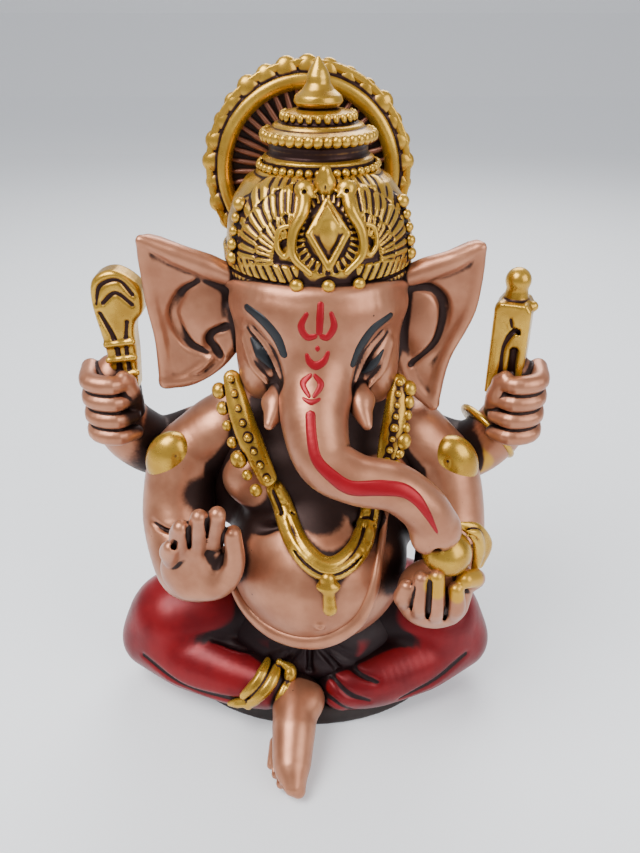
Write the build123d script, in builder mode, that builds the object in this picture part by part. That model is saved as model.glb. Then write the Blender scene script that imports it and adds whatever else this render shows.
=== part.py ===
from build123d import *

import os

# Seated elephant-headed idol with four arms, a high crown and a halo: a small hand-painted resin figure.
# Millimetres. The origin is on the plinth's underside, +Z is up and the face looks along -Y.
# Left and right are the idol's own, so the right hand, which blesses, is on the -X side.
# Each sculpted element is modelled as its own solid, seated face to face on its neighbours.

os.makedirs("parts", exist_ok=True)

# Driving dimensions
total_height = 97.4
plinth_height = 4.5
plinth_length = 46.0
plinth_width = 33.0
centre_x = 1.4  # the head, trunk root and crown stand a little to the idol's left
crown_axis_y = -0.5
crown_foot_z = 71.5
halo_radius = 14.6
halo_centre_z = total_height - halo_radius - 0.4
halo_front_y = 6.4
halo_thickness = 2.4


def stations(route, radii):
    """Planes square to a smooth line through the route, each with the limb's radius there."""
    line = Spline(*route)
    last = len(radii) - 1
    found = []
    for number, radius in enumerate(radii):
        share = number / last
        found.append((Plane(origin=line @ share, z_dir=line % share), radius))
    return found


def ellipsoid(centre, radii, turn=(0, 0, 0)):
    """A ball stretched to three radii, turned about its own centre, for use with add()."""
    ball = scale(Solid.make_sphere(1.0), by=radii, mode=Mode.PRIVATE)
    return Location(centre, turn) * ball


finished = {}


def seat(name, rough, neighbours=(), grouped=False):
    """Cuts the neighbours out of a rough piece, drops loose chips unless it is a group, and writes it."""
    with BuildPart() as piece:
        add(rough.part)
        for neighbour in neighbours:
            add(finished[neighbour], mode=Mode.SUBTRACT)
        if not grouped:
            add(solids().sort_by(SortBy.VOLUME)[-1], mode=Mode.REPLACE)
    piece.part.label = name
    finished[name] = piece.part
    export_step(piece.part, f"parts/{name}.step")
    print(f"{name}: {piece.part.volume:.1f} mm3, {len(piece.part.solids())} solid")


# Plinth: a low oval slab under the folded legs
with BuildPart() as base_plinth:
    with BuildSketch(Plane.XY):
        with Locations((0, -2.5)):
            Ellipse(plinth_length / 2, plinth_width / 2)
    extrude(amount=plinth_height)
    fillet(base_plinth.edges().group_by(Axis.Z)[-1], radius=1.2)
seat("base_plinth", base_plinth)

# Torso: a round belly that rises into the chest and a short neck
belly_sections = [  # height, middle x, middle y, half width, half depth
    (13.0, 0.8, -5.0, 11.5, 10.5),
    (18.0, 1.2, -7.2, 13.6, 14.0),
    (24.0, 1.4, -8.2, 14.6, 15.6),
    (30.0, 1.4, -8.0, 14.6, 15.4),
    (36.0, 1.2, -6.0, 13.6, 13.0),
    (42.0, 1.0, -3.6, 13.6, 11.0),
    (47.0, 1.0, -2.0, 13.4, 9.6),
    (51.0, 1.0, -1.4, 10.4, 8.2),
    (54.0, 1.2, -1.4, 7.6, 6.8),
]
with BuildPart() as torso:
    for height, middle_x, middle_y, half_width, half_depth in belly_sections:
        with BuildSketch(Plane.XY.offset(height)):
            with Locations((middle_x, middle_y)):
                Ellipse(half_width, half_depth)
    loft()
seat("torso", torso)

# Cloth of the seat: the hips and lap between the two folded legs
with BuildPart() as dhoti_seat:
    add(ellipsoid((0.5, -2.5, 11.0), (17.0, 14.5, 9.0)))
    split(bisect_by=Plane.XY.offset(plinth_height), keep=Keep.TOP)
seat("dhoti_seat", dhoti_seat, ["torso"])

# Folded legs in the red cloth: thigh out to the knee, shin back to the middle
leg_sides = {
    "right_leg": {"knee": (-22.4, -5.5, 11.0), "ankle": (-6.5, -16.6, 7.6)},
    "left_leg": {"knee": (20.6, -5.5, 11.0), "ankle": (5.6, -16.0, 6.6)},
}
for name, place in leg_sides.items():
    knee_x, knee_y, knee_z = place["knee"]
    side = 1 if knee_x > 0 else -1
    thigh = stations(
        [(side * 6.0, -1.0, 12.5), (side * 14.0, -3.5, 12.2), place["knee"],
         (knee_x + side * 8.0, knee_y, knee_z - 0.6)],
        [7.0, 8.4, 8.6, 8.0, 3.6],
    )
    shin = stations(
        [(knee_x + side * 5.0, knee_y - 1.5, 8.6), (knee_x - side * 3.0, knee_y - 5.2, 8.4), place["ankle"]],
        [4.2, 6.2, 6.0, 4.8, 3.4],
    )
    with BuildPart() as leg:
        for plane, radius in thigh:
            with BuildSketch(plane):
                Circle(radius)
        loft()
        for plane, radius in shin:
            with BuildSketch(plane):
                Circle(radius)
        loft()
        split(bisect_by=Plane.XY.offset(0.6), keep=Keep.TOP)
    seat(name, leg, ["base_plinth", "torso", "dhoti_seat"] + (["right_leg"] if side > 0 else []))

# The right foot hangs forward over the plinth's edge, toes on the ground
foot_route = [
    (-4.4, -15.4, 7.6), (-2.6, -18.8, 7.2), (-2.0, -24.0, 6.0), (-2.2, -28.6, 3.2), (-2.3, -32.4, 1.6),
]
with BuildPart() as right_foot:
    for plane, radius in stations(foot_route, [2.8, 3.3, 3.1, 2.8, 1.2]):
        with BuildSketch(plane):
            Ellipse(radius, radius * 0.86)
    loft()
    add(ellipsoid((1.2, -19.6, 6.8), (1.9, 2.6, 2.3)))
    add(ellipsoid((-4.6, -26.6, 2.4), (1.4, 4.2, 1.8), (0, 0, -12)))
    split(bisect_by=Plane.XY, keep=Keep.TOP)
seat("right_foot", right_foot, ["base_plinth", "torso", "dhoti_seat", "right_leg", "left_leg"])

# Three gold rings round the right ankle
ankle_line = Spline((-12.5, -12.6, 8.2), (-9.4, -15.0, 8.2), (-6.2, -17.2, 8.2))
with BuildPart() as right_anklet:
    for share, ring_radius in ((0.15, 5.2), (0.52, 4.9), (0.9, 4.6)):
        with BuildSketch(Plane(origin=ankle_line @ share, z_dir=ankle_line % share)):
            Circle(ring_radius)
            Circle(ring_radius - 1.8, mode=Mode.SUBTRACT)
        extrude(amount=0.7, both=True)
ankle_neighbours = ["base_plinth", "torso", "dhoti_seat", "right_leg", "right_foot"]
seat("right_anklet", right_anklet, ankle_neighbours, grouped=True)

# Arms: the front pair bends at the elbow, the rear pair rises behind the shoulders
arm_routes = {
    "right_front_arm": (
        [(-12.8, -2.4, 46.8), (-19.0, -4.4, 43.0), (-20.8, -8.0, 34.6), (-17.6, -15.2, 30.8),
         (-15.4, -18.6, 31.6)],
        [3.4, 5.2, 5.4, 5.0, 4.3, 3.2],
    ),
    "left_front_arm": (
        [(15.0, -2.4, 46.0), (20.6, -4.6, 41.6), (22.2, -8.6, 33.0), (19.6, -15.6, 28.6),
         (17.8, -18.8, 29.2)],
        [3.4, 5.0, 5.2, 4.8, 4.1, 3.2],
    ),
    "right_rear_arm": (
        [(-11.0, 2.6, 46.0), (-17.6, 2.8, 42.6), (-23.4, 1.4, 41.6), (-27.4, -0.4, 45.0),
         (-29.2, -1.6, 49.4)],
        [3.0, 4.8, 4.8, 4.6, 4.2, 3.0],
    ),
    "left_rear_arm": (
        [(13.0, 2.6, 45.0), (19.0, 2.8, 41.4), (24.4, 1.4, 40.8), (28.2, -0.4, 44.6), (30.0, -1.6, 49.2)],
        [3.0, 4.8, 4.8, 4.4, 4.0, 2.8],
    ),
}
for name, (route, radii) in arm_routes.items():
    with BuildPart() as arm:
        for plane, radius in stations(route, radii):
            with BuildSketch(plane):
                Circle(radius)
        loft()
    made_before = [other for other in finished if other.endswith("arm") or other in ("torso", "dhoti_seat")]
    seat(name, arm, made_before + ["right_leg", "left_leg"])

# Front hands: the right open, palm forward, the left cupped under the sweet; each palm is a lofted slab
hands = {
    "right_open_hand": {
        "palm": [(30.3, -15.6, -19.6, 2.8, 1.9), (33.0, -15.2, -20.2, 4.9, 2.7),
                 (36.5, -15.0, -20.6, 5.4, 2.8), (39.5, -15.0, -21.2, 4.9, 2.1)],
        "first_finger": (-18.4, -21.2, 38.4),
        "spacing": 2.25,
        "lean": (0.9, -1.2),
        "lengths": (6.6, 8.4, 8.6, 7.2),
        "thumb": [(-11.2, -20.6, 34.5), (-9.9, -21.4, 38.3), (-10.3, -21.6, 42.1)],
    },
    "left_cupped_hand": {
        "palm": [(26.8, 18.2, -20.2, 3.0, 2.2), (28.8, 17.8, -21.0, 4.9, 3.1), (31.4, 17.8, -21.4, 5.3, 3.3),
                 (34.0, 17.8, -22.0, 4.6, 2.3)],
        "first_finger": (14.1, -23.6, 30.4),
        "spacing": 2.45,
        "lean": (-0.2, -1.2),
        "lengths": (7.4, 7.2, 6.8, 6.2),
        "thumb": [(22.0, -20.6, 31.0), (23.0, -21.6, 34.0), (21.8, -22.6, 36.2)],
    },
}
hand_neighbours = {
    "right_open_hand": ["right_front_arm", "torso", "right_leg"],
    "left_cupped_hand": ["left_front_arm", "torso", "left_leg"],
}
for name, hand in hands.items():
    with BuildPart() as open_hand:
        for height, middle_x, middle_y, half_width, half_depth in hand["palm"]:
            with BuildSketch(Plane.XY.offset(height)):
                with Locations((middle_x, middle_y)):
                    Ellipse(half_width, half_depth)
        loft()
        first_x, first_y, first_z = hand["first_finger"]
        for number, length in enumerate(hand["lengths"]):
            root = Vector(first_x + hand["spacing"] * number, first_y, first_z)
            reach = Vector(hand["lean"][0], hand["lean"][1], length)
            with BuildSketch(Plane(origin=root, z_dir=reach)):
                Circle(1.18)
            with BuildSketch(Plane(origin=root + reach, z_dir=reach)):
                Circle(0.8)
            loft()
        for plane, radius in stations(hand["thumb"], [1.7, 1.6, 0.9]):
            with BuildSketch(plane):
                Circle(radius)
        loft()
    seat(name, open_hand, hand_neighbours[name])

# The sweet in the left hand and the leaf it lies on
with BuildPart() as modak:
    with BuildSketch(Plane.XZ):
        with BuildLine():
            shoulder = CenterArc((0, 0), 3.2, -90, 145)
            Polyline(shoulder @ 1, (0, 3.9), (0, -3.2))
        make_face()
    revolve(axis=Axis.Z)
modak.part.locate(Location((18.2, -22.2, 39.6)))
seat("modak", modak, ["left_cupped_hand"])

leaf_plane = Plane(origin=(22.0, -18.6, 37.2), x_dir=(0.86, 0.42, -0.28), z_dir=(0.30, -0.90, -0.30))
with BuildPart() as modak_leaf:
    with BuildSketch(leaf_plane):
        with BuildLine():
            Spline((0, -5.0), (2.7, 0.0), (0, 5.0))
            Spline((0, 5.0), (-2.7, 0.0), (0, -5.0))
        make_face()
    extrude(amount=0.8, both=True)
seat("modak_leaf", modak_leaf, ["modak", "left_cupped_hand", "left_front_arm"])

# Fists of the raised rear hands
fists = {
    "right_fist": {"middle": (-28.6, -2.4, 52.7), "outward": -1, "radii": (3.9, 4.4, 6.3)},
    "left_fist": {"middle": (30.0, -2.6, 52.8), "outward": 1, "radii": (3.9, 4.4, 6.0)},
}
for name, fist in fists.items():
    middle_x, middle_y, middle_z = fist["middle"]
    with BuildPart() as hand:
        add(ellipsoid(fist["middle"], fist["radii"]))
        for number in range(4):
            height = middle_z - 4.4 + 2.9 * number
            knuckle = (middle_x + fist["outward"] * 0.8, middle_y - 2.2, height)
            add(ellipsoid(knuckle, (3.7, 3.4, 1.55), (0, fist["outward"] * -8, 0)))
    seat(name, hand, ["right_rear_arm" if fist["outward"] < 0 else "left_rear_arm"])

# Emblems held in the raised hands: a broad-bladed axe, and a mace with a ball top and an arched panel
with BuildPart() as axe:
    with BuildSketch(Plane.XZ.offset(-0.4)):
        with BuildLine():
            Polyline((-25.0, 55.0), (-24.0, 60.6), (-23.8, 64.0))
            Spline((-23.8, 64.0), (-22.4, 66.0), (-22.9, 68.8), (-25.8, 71.6), (-28.4, 70.6), (-28.9, 67.0))
            Spline((-28.9, 67.0), (-28.6, 62.0), (-28.4, 55.0))
            Line((-28.4, 55.0), (-25.0, 55.0))
        make_face()
    extrude(amount=4.4)
    fillet(axe.edges().filter_by(Axis.Y, reverse=True), radius=0.8)
seat("axe", axe, ["right_fist", "right_rear_arm"])

mace_middle = (28.6, -2.0)
with BuildPart() as mace:
    with BuildSketch(Plane.XY.offset(54.0)):
        with Locations(mace_middle):
            RectangleRounded(5.0, 4.6, 0.6)
    extrude(amount=12.8)
    with BuildSketch(Plane.XZ.offset(4.3)):
        with Locations((mace_middle[0], 61.0)):
            SlotOverall(6.4, 2.2, rotation=90)
    extrude(amount=-1.0, mode=Mode.SUBTRACT)
    with Locations((mace_middle[0], mace_middle[1], 67.6)):
        Cylinder(1.7, 2.0)
    with Locations((mace_middle[0], mace_middle[1], 70.2)):
        Sphere(2.2)
seat("mace", mace, ["left_fist", "left_rear_arm"])

# Gold on the arms: a carved plate on each shoulder, and a thin disc bracelet on the left rear wrist
armlets = {
    "right_armlet": {"middle": (-21.0, -7.4, 43.4), "radii": (4.0, 4.8, 4.4), "inside": "right_front_arm"},
    "left_armlet": {"middle": (23.2, -7.0, 41.4), "radii": (3.8, 4.8, 4.6), "inside": "left_front_arm"},
}
for name, armlet in armlets.items():
    with BuildPart() as plate:
        add(ellipsoid(armlet["middle"], armlet["radii"]))
    seat(name, plate, ["torso", armlet["inside"], name.split("_")[0] + "_rear_arm"])

with BuildPart() as left_bracelet:
    with BuildSketch(Plane(origin=(27.8, 0.2, 44.6), z_dir=(0.66, 0.14, 0.74))):
        Circle(5.4)
    extrude(amount=0.6, both=True)
    chamfer(left_bracelet.edges(), length=0.3)
seat("left_bracelet", left_bracelet, ["left_rear_arm", "left_fist"])

# Head: a wide brow that narrows to the root of the trunk
head_sections = [  # height, middle x, middle y, half width, half depth
    (50.5, 1.2, -6.0, 3.4, 6.0),
    (54.0, 1.2, -7.0, 6.6, 9.0),
    (58.0, 1.3, -6.6, 8.8, 10.2),
    (63.0, 1.4, -4.9, 10.4, 10.9),
    (68.0, 1.5, -4.1, 11.3, 10.3),
    (72.0, 1.5, -3.1, 11.3, 9.3),
    (76.0, 1.5, -2.2, 8.6, 7.4),
]
with BuildPart() as head:
    for height, middle_x, middle_y, half_width, half_depth in head_sections:
        with BuildSketch(Plane.XY.offset(height)):
            with Locations((middle_x, middle_y)):
                Ellipse(half_width, half_depth)
    loft()
seat("head", head, ["torso"])

# Trunk: down from the brow, a sweep to the idol's left, and down to the sweet
trunk_route = [
    (1.4, -9.0, 61.0), (1.0, -17.0, 56.8), (2.6, -21.2, 52.4), (6.6, -22.6, 50.8),
    (11.4, -23.0, 50.0), (15.0, -23.2, 46.6), (16.4, -22.8, 43.0),
]
with BuildPart() as trunk:
    for plane, radius in stations(trunk_route, [5.2, 4.7, 4.1, 3.6, 3.2, 3.0, 3.0, 3.0, 2.6]):
        with BuildSketch(plane):
            Circle(radius)
    loft()
seat("trunk", trunk, ["head", "torso", "modak", "left_cupped_hand"])

# Tusks: short stubs beside the trunk's root
tusks = {
    "right_tusk": [(-3.6, -11.0, 58.2), (-5.0, -15.4, 55.6), (-5.8, -18.4, 54.8)],
    "left_tusk": [(6.4, -11.0, 58.2), (7.2, -15.4, 55.6), (7.8, -18.4, 54.6)],
}
for name, route in tusks.items():
    with BuildPart() as tusk:
        for plane, radius in stations(route, [2.0, 1.9, 1.5, 0.8]):
            with BuildSketch(plane):
                Circle(radius)
        loft()
    seat(name, tusk, ["head", "trunk", "torso"])

# Ears: broad thin flaps, cut to the ear's outline and swept back a little
ears = {
    "right_ear": {
        "corners": [(-9.4, 71.6), (-14.0, 73.8), (-21.8, 76.6)],
        "edge": [(-21.8, 76.6), (-22.0, 68.6), (-21.6, 62.0), (-21.4, 54.8)],
        "lobe": [(-21.4, 54.8), (-17.0, 55.4), (-13.2, 58.0), (-8.6, 64.0)],
        "turn": 6,
    },
    "left_ear": {
        "corners": [(12.2, 71.6), (17.0, 73.8), (22.8, 75.8)],
        "edge": [(22.8, 75.8), (22.8, 67.0), (20.6, 59.4), (19.2, 51.8)],
        "lobe": [(19.2, 51.8), (16.0, 54.2), (13.6, 57.4), (10.8, 64.0)],
        "turn": -6,
    },
}
for name, ear in ears.items():
    with BuildPart() as flap:
        with BuildSketch(Plane.XZ):
            with BuildLine():
                Spline(*ear["corners"])
                Spline(*ear["edge"])
                Spline(*ear["lobe"])
                Line(ear["lobe"][-1], ear["corners"][0])
            make_face()
        extrude(amount=2.6)
        fillet(flap.edges().group_by(Axis.Y)[0], radius=0.7)
    hinge_x = ear["corners"][0][0]
    turned = Location((hinge_x, -3.4, 0), (0, 0, ear["turn"])) * Location((-hinge_x, 0, 0))
    flap.part.locate(turned)
    seat(name, flap, ["head", "torso", "right_fist", "left_fist", "right_front_arm", "left_front_arm"])

# Halo: a rayed disc inside a scalloped rim
lobe_count = 34
halo_plane = Plane(origin=(0, halo_front_y, halo_centre_z), x_dir=(1, 0, 0), z_dir=(0, -1, 0))
with BuildPart() as halo_rim:
    with BuildSketch(halo_plane):
        Circle(halo_radius - 0.7)
        with PolarLocations(halo_radius - 0.9, lobe_count):
            Circle(1.3)
        Circle(halo_radius - 3.6, mode=Mode.SUBTRACT)
    extrude(amount=-halo_thickness)
seat("halo_rim", halo_rim)

ray_count = 48
with BuildPart() as halo_disc:
    with BuildSketch(halo_plane.offset(-0.8)):
        Circle(halo_radius - 3.62)
    extrude(amount=-(halo_thickness - 1.2))
    with BuildSketch(halo_plane.offset(-0.8)):
        with PolarLocations(halo_radius - 6.6, ray_count):
            Rectangle(5.4, 0.42)
    extrude(amount=-0.45, mode=Mode.SUBTRACT)
seat("halo_disc", halo_disc)

# Crown: a bowl over the brow, stepped tiers and a pointed finial, all turned on one axis
crown_axis_plane = Plane(origin=(centre_x, crown_axis_y, crown_foot_z), x_dir=(1, 0, 0), z_dir=(0, -1, 0))
crown_axis = Axis((centre_x, crown_axis_y, 0), (0, 0, 1))
bowl_height = 13.6
with BuildPart() as crown_bowl:
    with BuildSketch(crown_axis_plane):
        with BuildLine():
            Line((0, 0), (11.9, 0))
            Spline((11.9, 0), (12.3, 2.2), (12.0, 6.4), (10.4, 10.6), (7.6, bowl_height))
            Line((7.6, bowl_height), (0, bowl_height))
            Line((0, bowl_height), (0, 0))
        make_face()
    revolve(axis=crown_axis)
    split(bisect_by=Plane.XZ.offset(-halo_front_y), keep=Keep.TOP)
seat("crown_bowl", crown_bowl, ["head", "halo_disc", "halo_rim", "right_ear", "left_ear"])

with BuildPart() as crown_tiers:
    with BuildSketch(crown_axis_plane):
        with BuildLine():
            Polyline(
                (0, bowl_height), (7.4, bowl_height), (7.6, bowl_height + 0.8), (6.6, bowl_height + 1.3),
                (6.4, bowl_height + 3.0), (7.5, bowl_height + 3.6), (7.3, bowl_height + 4.8),
                (5.0, bowl_height + 5.4), (4.9, bowl_height + 7.0), (0, bowl_height + 7.0), (0, bowl_height),
            )
        make_face()
    revolve(axis=crown_axis)
seat("crown_tiers", crown_tiers, ["crown_bowl", "halo_disc", "halo_rim"])

finial_foot = bowl_height + 7.0
finial_top = total_height - 0.3 - crown_foot_z
with BuildPart() as crown_finial:
    with BuildSketch(crown_axis_plane):
        with BuildLine():
            Line((0, finial_foot), (2.7, finial_foot))
            Spline((2.7, finial_foot), (3.3, finial_foot + 1.4), (1.9, finial_foot + 2.8),
                   (1.3, finial_foot + 4.2), (0, finial_top))
            Line((0, finial_top), (0, finial_foot))
        make_face()
    revolve(axis=crown_axis)
seat("crown_finial", crown_finial, ["crown_tiers", "halo_disc", "halo_rim"])

# Jewels and the two peacocks on the crown's front
jewel_x = centre_x + 1.2
with BuildPart() as crown_jewel:
    with BuildSketch(Plane.XZ.offset(11.0)):
        with BuildLine():
            Spline((jewel_x, 75.4), (jewel_x + 2.4, 78.8), (jewel_x, 82.6))
            Spline((jewel_x, 82.6), (jewel_x - 2.4, 78.8), (jewel_x, 75.4))
        make_face()
    extrude(amount=2.6)
seat("crown_jewel", crown_jewel, ["crown_bowl"])

with BuildPart() as crown_drop:
    add(ellipsoid((jewel_x, -9.6, 84.2), (1.5, 1.8, 2.2), (24, 0, 0)))
seat("crown_drop", crown_drop, ["crown_bowl", "crown_tiers", "crown_jewel"])

for name, side in (("right_peacock", -1), ("left_peacock", 1)):
    chest = jewel_x + side * 3.0
    with BuildPart() as peacock:
        with BuildSketch(Plane.XZ.offset(8.4)):
            with BuildLine():
                Spline((chest, 76.0), (chest + side * 0.4, 79.2), (chest - side * 0.2, 82.2),
                       (chest + side * 0.6, 84.6))
                Spline((chest + side * 0.6, 84.6), (chest + side * 2.2, 82.8), (chest + side * 4.4, 79.2),
                       (chest + side * 3.6, 76.0))
                Line((chest + side * 3.6, 76.0), (chest, 76.0))
            make_face()
        extrude(amount=4.2)
    seat(name, peacock, ["crown_bowl", "crown_jewel", "crown_tiers", "crown_drop"])

# Ornaments on the chest: collar necklace with its pendant, two beaded garlands, and the sacred thread
necklace_route = [
    (-5.4, -13.4, 45.6), (-4.2, -17.4, 40.6), (-0.8, -20.2, 37.4), (2.8, -21.0, 36.2),
    (6.0, -20.4, 37.6), (8.4, -17.4, 41.0), (9.4, -13.6, 45.6),
]
with BuildPart() as necklace:
    for plane, radius in stations(necklace_route, [1.3, 1.6, 1.6, 1.6, 1.6, 1.6, 1.3]):
        with BuildSketch(plane):
            Circle(radius)
    loft()
seat("necklace", necklace, ["torso", "trunk", "head"])

with BuildPart() as necklace_pendant:
    add(ellipsoid((2.8, -22.2, 33.0), (1.3, 1.2, 2.8), (-18, 0, 0)))
seat("necklace_pendant", necklace_pendant, ["torso", "necklace"])

garlands = {
    "right_garland": [(-10.2, -6.0, 55.6), (-9.0, -9.6, 53.0), (-6.6, -13.4, 49.4), (-3.6, -15.4, 45.6)],
    "left_garland": [(12.6, -6.0, 55.6), (12.0, -9.6, 52.8), (10.6, -12.8, 49.6), (9.4, -14.4, 47.4)],
}
for name, route in garlands.items():
    with BuildPart() as garland:
        for plane, radius in stations(route, [1.4, 1.9, 1.9, 1.4]):
            with BuildSketch(plane):
                Circle(radius)
        loft()
    side_name = name.split("_")[0]
    seat(name, garland, ["torso", "head", "necklace", "trunk", side_name + "_ear", side_name + "_front_arm"])

thread_route = [
    (10.6, -10.6, 46.6), (12.4, -14.2, 40.0), (12.4, -19.0, 32.0), (9.4, -22.6, 24.4),
    (2.0, -23.0, 20.0), (-6.0, -20.4, 20.8), (-11.0, -15.6, 25.6),
]
with BuildPart() as sacred_thread:
    for plane, radius in stations(thread_route, [0.6, 0.75, 0.75, 0.75, 0.75, 0.75, 0.75, 0.75, 0.6]):
        with BuildSketch(plane):
            Circle(radius)
    loft()
thread_neighbours = ["torso", "left_front_arm", "right_front_arm", "necklace", "dhoti_seat"]
thread_neighbours += ["right_leg", "left_leg", "left_garland"]
seat("sacred_thread", sacred_thread, thread_neighbours)
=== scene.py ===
import math

import bpy
import numpy as np
import openvdb
from mathutils import Euler, Matrix, Vector


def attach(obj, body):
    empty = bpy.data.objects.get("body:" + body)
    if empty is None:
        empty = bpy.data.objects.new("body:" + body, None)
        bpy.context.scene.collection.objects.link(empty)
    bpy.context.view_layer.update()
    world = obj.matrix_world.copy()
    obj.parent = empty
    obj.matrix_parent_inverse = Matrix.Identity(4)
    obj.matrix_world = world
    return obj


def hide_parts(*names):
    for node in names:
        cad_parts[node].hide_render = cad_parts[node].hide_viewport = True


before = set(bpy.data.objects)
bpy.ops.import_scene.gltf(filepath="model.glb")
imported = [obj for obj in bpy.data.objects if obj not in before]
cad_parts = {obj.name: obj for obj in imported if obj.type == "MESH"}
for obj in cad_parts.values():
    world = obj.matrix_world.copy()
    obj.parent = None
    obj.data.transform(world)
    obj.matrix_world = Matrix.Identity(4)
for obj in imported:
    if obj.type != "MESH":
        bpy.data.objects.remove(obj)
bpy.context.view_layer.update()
print("frame loaded")

mm = 0.001  # everything below is sculpted in millimetres and made metres in the mesh

view = {
    "place": (1.6, -99.0, 103.0),
    "pitch": 60.0,
    "lens": 31.2,
}


# clay: a block of distances that pieces are built up in and carved from

def softMin(first, second, blend):
    share = np.clip(0.5 + 0.5 * (second - first) / blend, 0, 1)
    return second + (first - second) * share - blend * share * (1 - share)


def smoothPath(points, count):
    points = np.array(points, float)
    ends = np.vstack([2 * points[0] - points[1], points, 2 * points[-1] - points[-2]])
    along = np.linspace(0, len(points) - 1, count)
    first = np.minimum(along.astype(int), len(points) - 2)
    part = (along - first)[:, None]
    a, b, c, d = ends[first], ends[first + 1], ends[first + 2], ends[first + 3]
    return 0.5 * (2 * b + (c - a) * part + (2 * a - 5 * b + 4 * c - d) * part ** 2
                  + (3 * b - a - 3 * c + d) * part ** 3)


def outlineDistance(across, up, corners):
    # signed distance to a closed outline, negative inside
    corners = np.array(corners, float)
    nearest = np.full(np.broadcast(across, up).shape, 1e9, np.float32)
    inside = np.zeros(nearest.shape, bool)
    for start, end in zip(corners, np.roll(corners, -1, axis=0)):
        edge = end - start
        toX, toY = across - start[0], up - start[1]
        share = np.clip((toX * edge[0] + toY * edge[1]) / max(edge @ edge, 1e-9), 0, 1)
        nearest = np.minimum(nearest, (toX - edge[0] * share) ** 2 + (toY - edge[1] * share) ** 2)
        if start[1] != end[1]:
            crossing = (start[1] > up) != (end[1] > up)
            inside ^= crossing & (across < edge[0] * (up - start[1]) / edge[1] + start[0])
    return np.where(inside, -1, 1) * np.sqrt(nearest)


def sampled(field, low, voxel, points):
    place = np.clip((points - low) / voxel, 0, np.array(field.shape) - 1.001)
    first = place.astype(int)
    part = place - first
    total = np.zeros(len(points))
    for corner in range(8):
        step = np.array([corner & 1, corner >> 1 & 1, corner >> 2 & 1])
        weight = np.prod(np.where(step, part, 1 - part), axis=1)
        total += weight * field[tuple((first + step).T)]
    return total


def blurred(field, reach):
    # a soft average over about reach voxels each way
    steps = np.arange(-int(2.5 * reach), int(2.5 * reach) + 1)
    weights = np.exp(-steps ** 2 / (2 * reach ** 2))
    weights /= weights.sum()
    for axis in range(3):
        padded = np.pad(field, [(len(steps) // 2,) * 2 if i == axis else (0, 0) for i in range(3)],
                        mode="edge")
        size = field.shape[axis]
        field = sum(weight * np.take(padded, range(i, i + size), axis=axis).astype(np.float32)
                    for i, weight in enumerate(weights.astype(np.float32)))
    return field


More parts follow.
